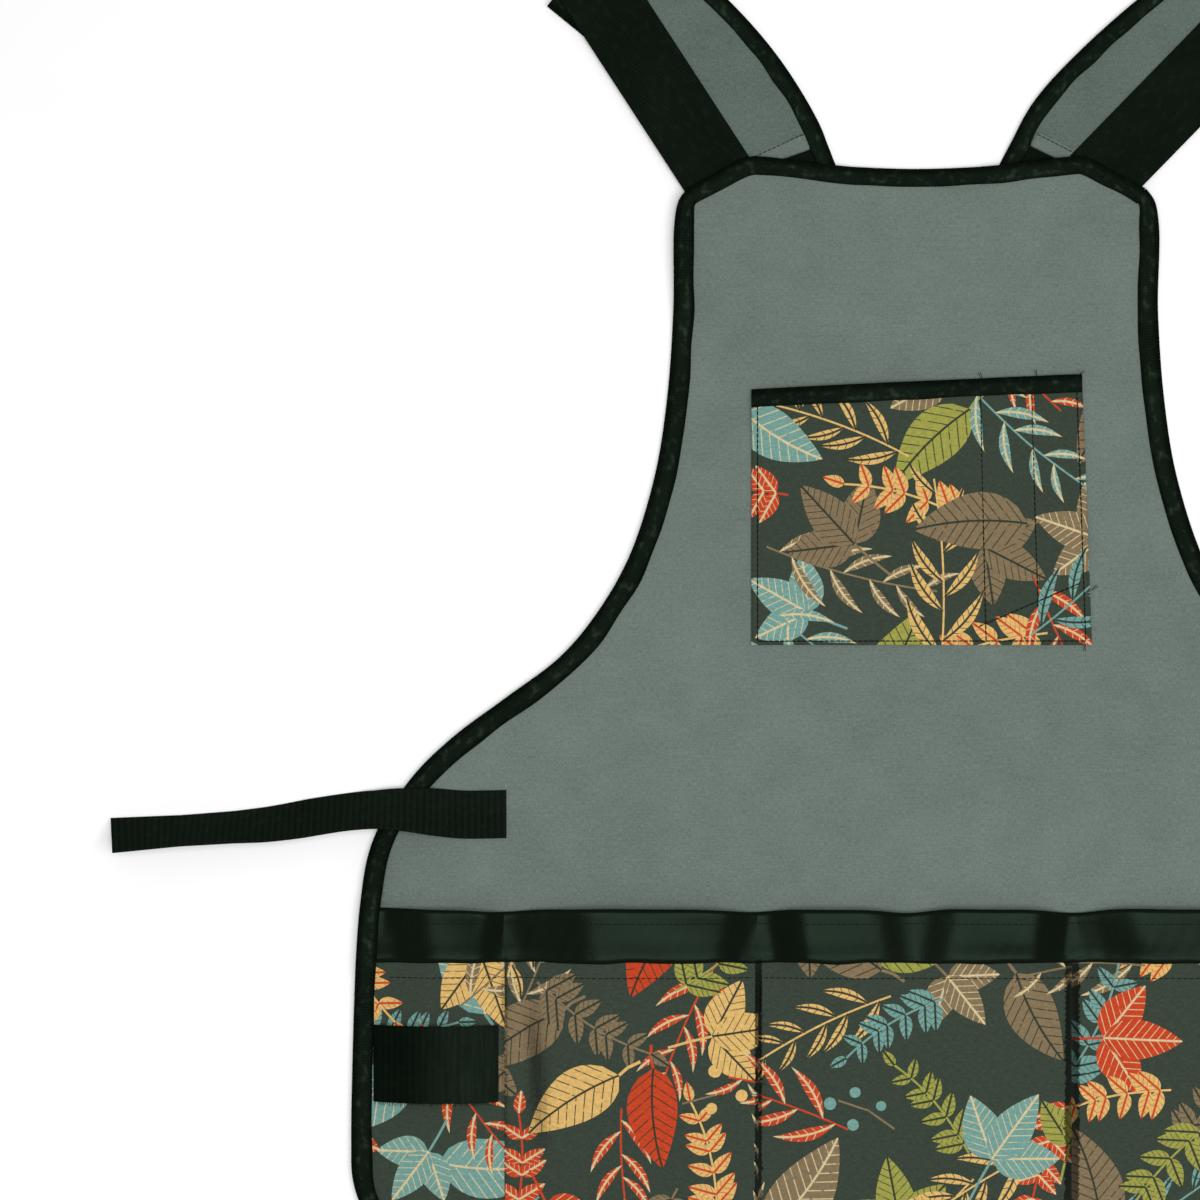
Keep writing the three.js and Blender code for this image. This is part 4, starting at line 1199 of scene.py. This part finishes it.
def makeWaistStrap(side):
    sign = 1 if side == "left" else -1
    width, thick = waist["width"], waist["thick"]
    half = width / 2
    path = smoothLine([row[:2] for row in waist["rows"]], 1)
    path = spaced(path, lengths(path)[-1] / waist["steps"])
    tip = waistTip(path)
    low = np.zeros(len(path))
    for share in np.linspace(-1, 1, 9):
        for shift in (-waist["nearby"], 0, waist["nearby"]):
            ground = waistGround(sign * (path[:, 0] + shift), path[:, 1] + share * half * np.cos(tip))
            low = np.maximum(low, ground - (share + 1) * half * np.sin(tip))
    z = low + half * np.sin(tip) + thick / 2 * np.cos(tip)
    fine = smoothLine(table([path, z]), waist["fineStep"])
    tip = waistTip(fine)
    waistPaths[sign] = table([-fine[:, 0], fine[:, 1:], tip])
    cut = sign * waist["cut"] * smooth(-fine[:, 0], *waist["cutOver"])
    across = table([cut, -np.cos(tip), np.sin(tip)])
    through = table([0 * tip, np.sin(tip), np.cos(tip)])
    name = "waistStrap" + side.title()
    stripPiece(name, fine * (sign, 1, 1), across, through, width, thick)
    rests = ["canvasPanel", "bindingArmhole" + side.title()]
    lay(name, "waist_strap_" + side, "webbing", waistWebbing, (width, lengths(fine)[-1]), rests)


for side in lines:
    makeWaistStrap(side)

loop = {
    "width": 40.0, "thick": 1.3, "long": 68.0,
    "down": 471.5, "start": -282.0, "end": -217.0, "clear": 0.3, "arch": 6.2,
}


# how far the loop stands off its pocket, at a share of its length
def loopRise(t):
    return loop["clear"] + loop["arch"] * np.sin(math.pi * t) ** 0.6


def makeToolLoop():
    t = np.linspace(0, 1, 46)
    x = mix(loop["start"], loop["end"], t)
    width, thick = loop["width"], loop["thick"]
    level = np.max([pocketTop(x, loop["down"] + share * width) for share in (-0.5, -0.25, 0, 0.25, 0.5)], 0)
    middle = table([x, 0 * x + loop["down"], level + loopRise(t) + thick / 2])
    across, through = np.tile([0.0, 1, 0], (len(t), 1)), np.tile(up, (len(t), 1))
    stripPiece("toolLoop", middle, across, through, width, thick)
    lay("toolLoop", "tool_loop", "webbing", loopWebbing, (width, loop["long"]), ["pocketCloth"])


makeToolLoop()
print("waist straps and loop made")


# stitches: one is modelled and copied along each seam
def modelStitch():
    bpy.ops.object.select_all(action="DESELECT")
    bpy.ops.mesh.primitive_uv_sphere_add(segments=6, ring_count=4, radius=1.0, rotation=(0, math.pi / 2, 0))
    one = bpy.context.object
    bpy.ops.object.transform_apply(location=False, rotation=True, scale=False)
    points = np.array([v.co for v in one.data.vertices])
    points[:, 0] = np.sign(points[:, 0]) * np.abs(points[:, 0]) ** 0.7
    faces = sorted(list(face.vertices) for face in one.data.polygons)  # their own order varies each run
    bpy.data.objects.remove(one)
    return points, faces


stitchPoints, stitchFaces = modelStitch()


# each seam is a line of x, down, z
def sewSeams(name, seams, pitch, long, thick, thread):
    points, faces = [], []
    for line in seams:
        solid = spaced(solidOf(line), pitch)
        for a, b in zip(solid[:-1], solid[1:]):
            way = unit(b - a)
            side = unit(np.cross(up, way))
            axes = np.stack([way * long / 2, side * thick / 2, np.cross(way, side) * thick / 2])
            base = len(points) * len(stitchPoints)
            points.append((a + b) / 2 + stitchPoints @ axes)
            faces += [[n + base for n in face] for face in stitchFaces]
    meshPiece(name, np.vstack(points) * mm, faces)
    lay(name, None, "binding", thread)


def seamOn(line, topOf, rise):
    return table([line, topOf(*line.T) + rise])


def bindingSeams():
    for name, (line, _, seam, _, _) in bindings.items():
        stations = stationsOn(line, tape["seamStep"])
        inner = stations[:, :2] + stations[:, 2:] * (bindingFront(name, stations) - seam)
        yield seamOn(inner, edgeHigh, tape["seamRise"])


bandSeam = {
    "reach": 274, "step": 2.0, "upper": 6.5, "lower": 427.0, "divider": 213.7, "dividerFoot": 560,
    "upperRise": 1.25, "lowerRise": 0.12, "dividerRise": 0.15,
}


def bandSeams():
    x = np.arange(-bandSeam["reach"], bandSeam["reach"] + 1, bandSeam["step"])
    down = np.arange(pockets["bandFoot"], bandSeam["dividerFoot"], bandSeam["step"])
    upper = table([x, 0 * x + pockets["mouth"] + bandSeam["upper"]])
    yield seamOn(upper, pocketTop, bandSeam["upperRise"])
    yield seamOn(table([x, 0 * x + bandSeam["lower"]]), pocketTop, bandSeam["lowerRise"])
    for divider in (-bandSeam["divider"], bandSeam["divider"]):
        yield seamOn(table([0 * down + divider, down]), pocketTop, bandSeam["dividerRise"])


def padSeams():
    shares = np.linspace(-padHem["seamHalf"], padHem["seamHalf"], 24)[:, None]
    top = padSize["low"] + padSize["thick"] + padHem["seamRise"] + 0 * shares
    for side in lines:
        middle, cross = padLine(side, -padSize["short"][side] - tape["grooveAt"] * padHem["front"])
        yield table([middle[-1] + cross[-1] * shares, top])


chestSeam = {
    "rise": 0.1,
    "overTape": 1.15,
    "tapeShare": 0.065,  # down to here a seam runs over the mouth's tape
    "paths": [  # ends as shares across and down
        [(0.018, 0.03), (0.018, 0.985)], [(0.982, 0.03), (0.982, 0.985)], [(0.018, 0.985), (0.982, 0.985)],
        [(0.67, 0.93), (0.97, 0.77)], [(0.69, 0.0), (0.69, 0.985)], [(0.845, 0.0), (0.845, 0.86)],
    ],
}


def chestSeams():
    for a, b in chestSeam["paths"]:
        line = spaced(np.array([chestPoint(*a), chestPoint(*b)]), 2.0)
        overTape = chestSeam["overTape"] * (chestShares(*line.T)[1] < chestSeam["tapeShare"]) * (a[1] == 0)
        yield seamOn(line, chestTop, chestSeam["rise"] + overTape)


threads = {
    "ends": [  # x, down, start below that, and how far it runs in x and down
        (34.3, 114.9, 2.2, -2.1, -4.2), (62.4, 112.8, 2.2, -1, -3.6), (84.2, 112.3, 2.2, 3, -2.6),
        (91, 226, 0, 3, -2.4), (87.9, 253.5, 0, -0.6, 4),
    ],
    "rise": 1.4, "spread": (-0.15, 0.12), "frayStep": 1.1, "fraySeed": 71,
}


# short ends of thread left at the seams, and the loop's frayed lower edge
def looseEnds():
    t = np.linspace(0, 1, 6)
    for x, down, drop, outX, outDown in threads["ends"]:
        z = np.full(len(t), float(chestTop(x, down)) + threads["rise"])
        for spread in threads["spread"]:
            runX, runDown = outX + spread * outDown, outDown - spread * outX
            yield table([x + runX * t, down + drop + runDown * t * (1.2 - 0.2 * t), z])
    random = np.random.default_rng(threads["fraySeed"])
    low = loop["down"] + loop["width"] / 2
    for x in np.arange(loop["start"] + 1, loop["end"] - 1, threads["frayStep"]):
        z = float(pocketTop(x, low)) + loopRise((x - loop["start"]) / (loop["end"] - loop["start"]))
        outX, outDown = random.uniform(-0.5, 0.5), random.uniform(0.7, 2.0)
        yield np.array([(x, low - 0.6, z), (x + outX, low + outDown, z + random.uniform(-0.4, 0.1))])


# a box of stitches with a cross in it on each waist strap's sewn end
def waistSeams():
    line = spaced(np.array(waist["box"], float), 2.0)
    for sign, way in waistPaths.items():
        down, z, tip = (np.interp(-line[:, 0], way[:, 0], column) for column in way.T[1:])
        level = z + (line[:, 1] - down) * np.tan(tip) + waist["thick"] / 2 / np.cos(tip) + waist["boxRise"]
        yield table([line * (sign, 1), level])


stitching = {  # seams, pitch, length, thickness, thread
    "bindingStitches": (bindingSeams, 3.3, 2.7, 0.5, blackThread),
    "bandStitches": (bandSeams, 3.2, 2.6, 0.5, blackThread),
    "padStitches": (padSeams, 2.6, 2.4, 0.75, greyThread),
    "chestStitches": (chestSeams, 2.9, 2.85, 0.75, blackThread),
    "looseEnds": (looseEnds, 1.0, 1.25, 0.32, blackThread),
    "waistStitches": (waistSeams, 2.8, 2.5, 0.55, blackThread),
}
for name, (seams, *kind) in stitching.items():
    sewSeams(name, seams(), *kind)
print("stitches made")

# floor, light and camera
look = {
    "lens": 110.0, "sensor": 36.0, "middle": (-0.1643, 0.1091),
    "frame": 0.624, "clothHigh": 0.004,  # metres seen across the picture, at the height of the cloth
    "sky": 0.4, "floor": 9.0, "floorLow": 0.0004, "paper": (0.95, 0.97),
    "lamps": {  # watts, side, place
        "softBox": (37.0, 1.1, (-0.14, 0.03, 2.6)),
        "sideBox": (7.2, 0.6, (0.5, -0.12, 1.5)),
    },
}


def makeFloor():
    bpy.ops.object.select_all(action="DESELECT")
    bpy.ops.mesh.primitive_plane_add(size=look["floor"], location=(0, 0, -look["floorLow"]))
    floor = bpy.context.object
    floor.name = "paleFloor"
    bpy.ops.object.transform_apply(location=True, rotation=True, scale=True)
    start, finish = cloth("palePaper", {"Specular IOR Level": 0.0, "Roughness": 0.95})
    dark, light = ((level, level, level, 1) for level in look["paper"])
    floor.data.materials.append(finish(start.ownPlace().noise(30, 2.0).blend(dark, light)))


def makeLights():
    world = bpy.data.worlds.new("softRoom")
    world.use_nodes = True
    sky = world.node_tree.nodes["Background"]
    sky.inputs["Color"].default_value = (1, 1, 1, 1)
    sky.inputs["Strength"].default_value = look["sky"]
    scene.world = world
    for name, (watts, size, spot) in look["lamps"].items():
        lamp = bpy.data.lights.new(name, "AREA")
        lamp.size = size
        lamp.energy = watts
        box = bpy.data.objects.new(name, lamp)
        box.location = spot
        scene.collection.objects.link(box)


def makeCamera():
    camera = bpy.data.cameras.new("camera")
    camera.lens = look["lens"]
    camera.sensor_width = look["sensor"]
    camera.clip_end = 20
    eye = bpy.data.objects.new("camera", camera)
    eye.location = (*look["middle"], look["lens"] / look["sensor"] * look["frame"] + look["clothHigh"])
    scene.collection.objects.link(eye)
    scene.camera = eye
    scene.view_settings.view_transform = "Standard"


makeFloor()
makeLights()
makeCamera()
print("scene ready")
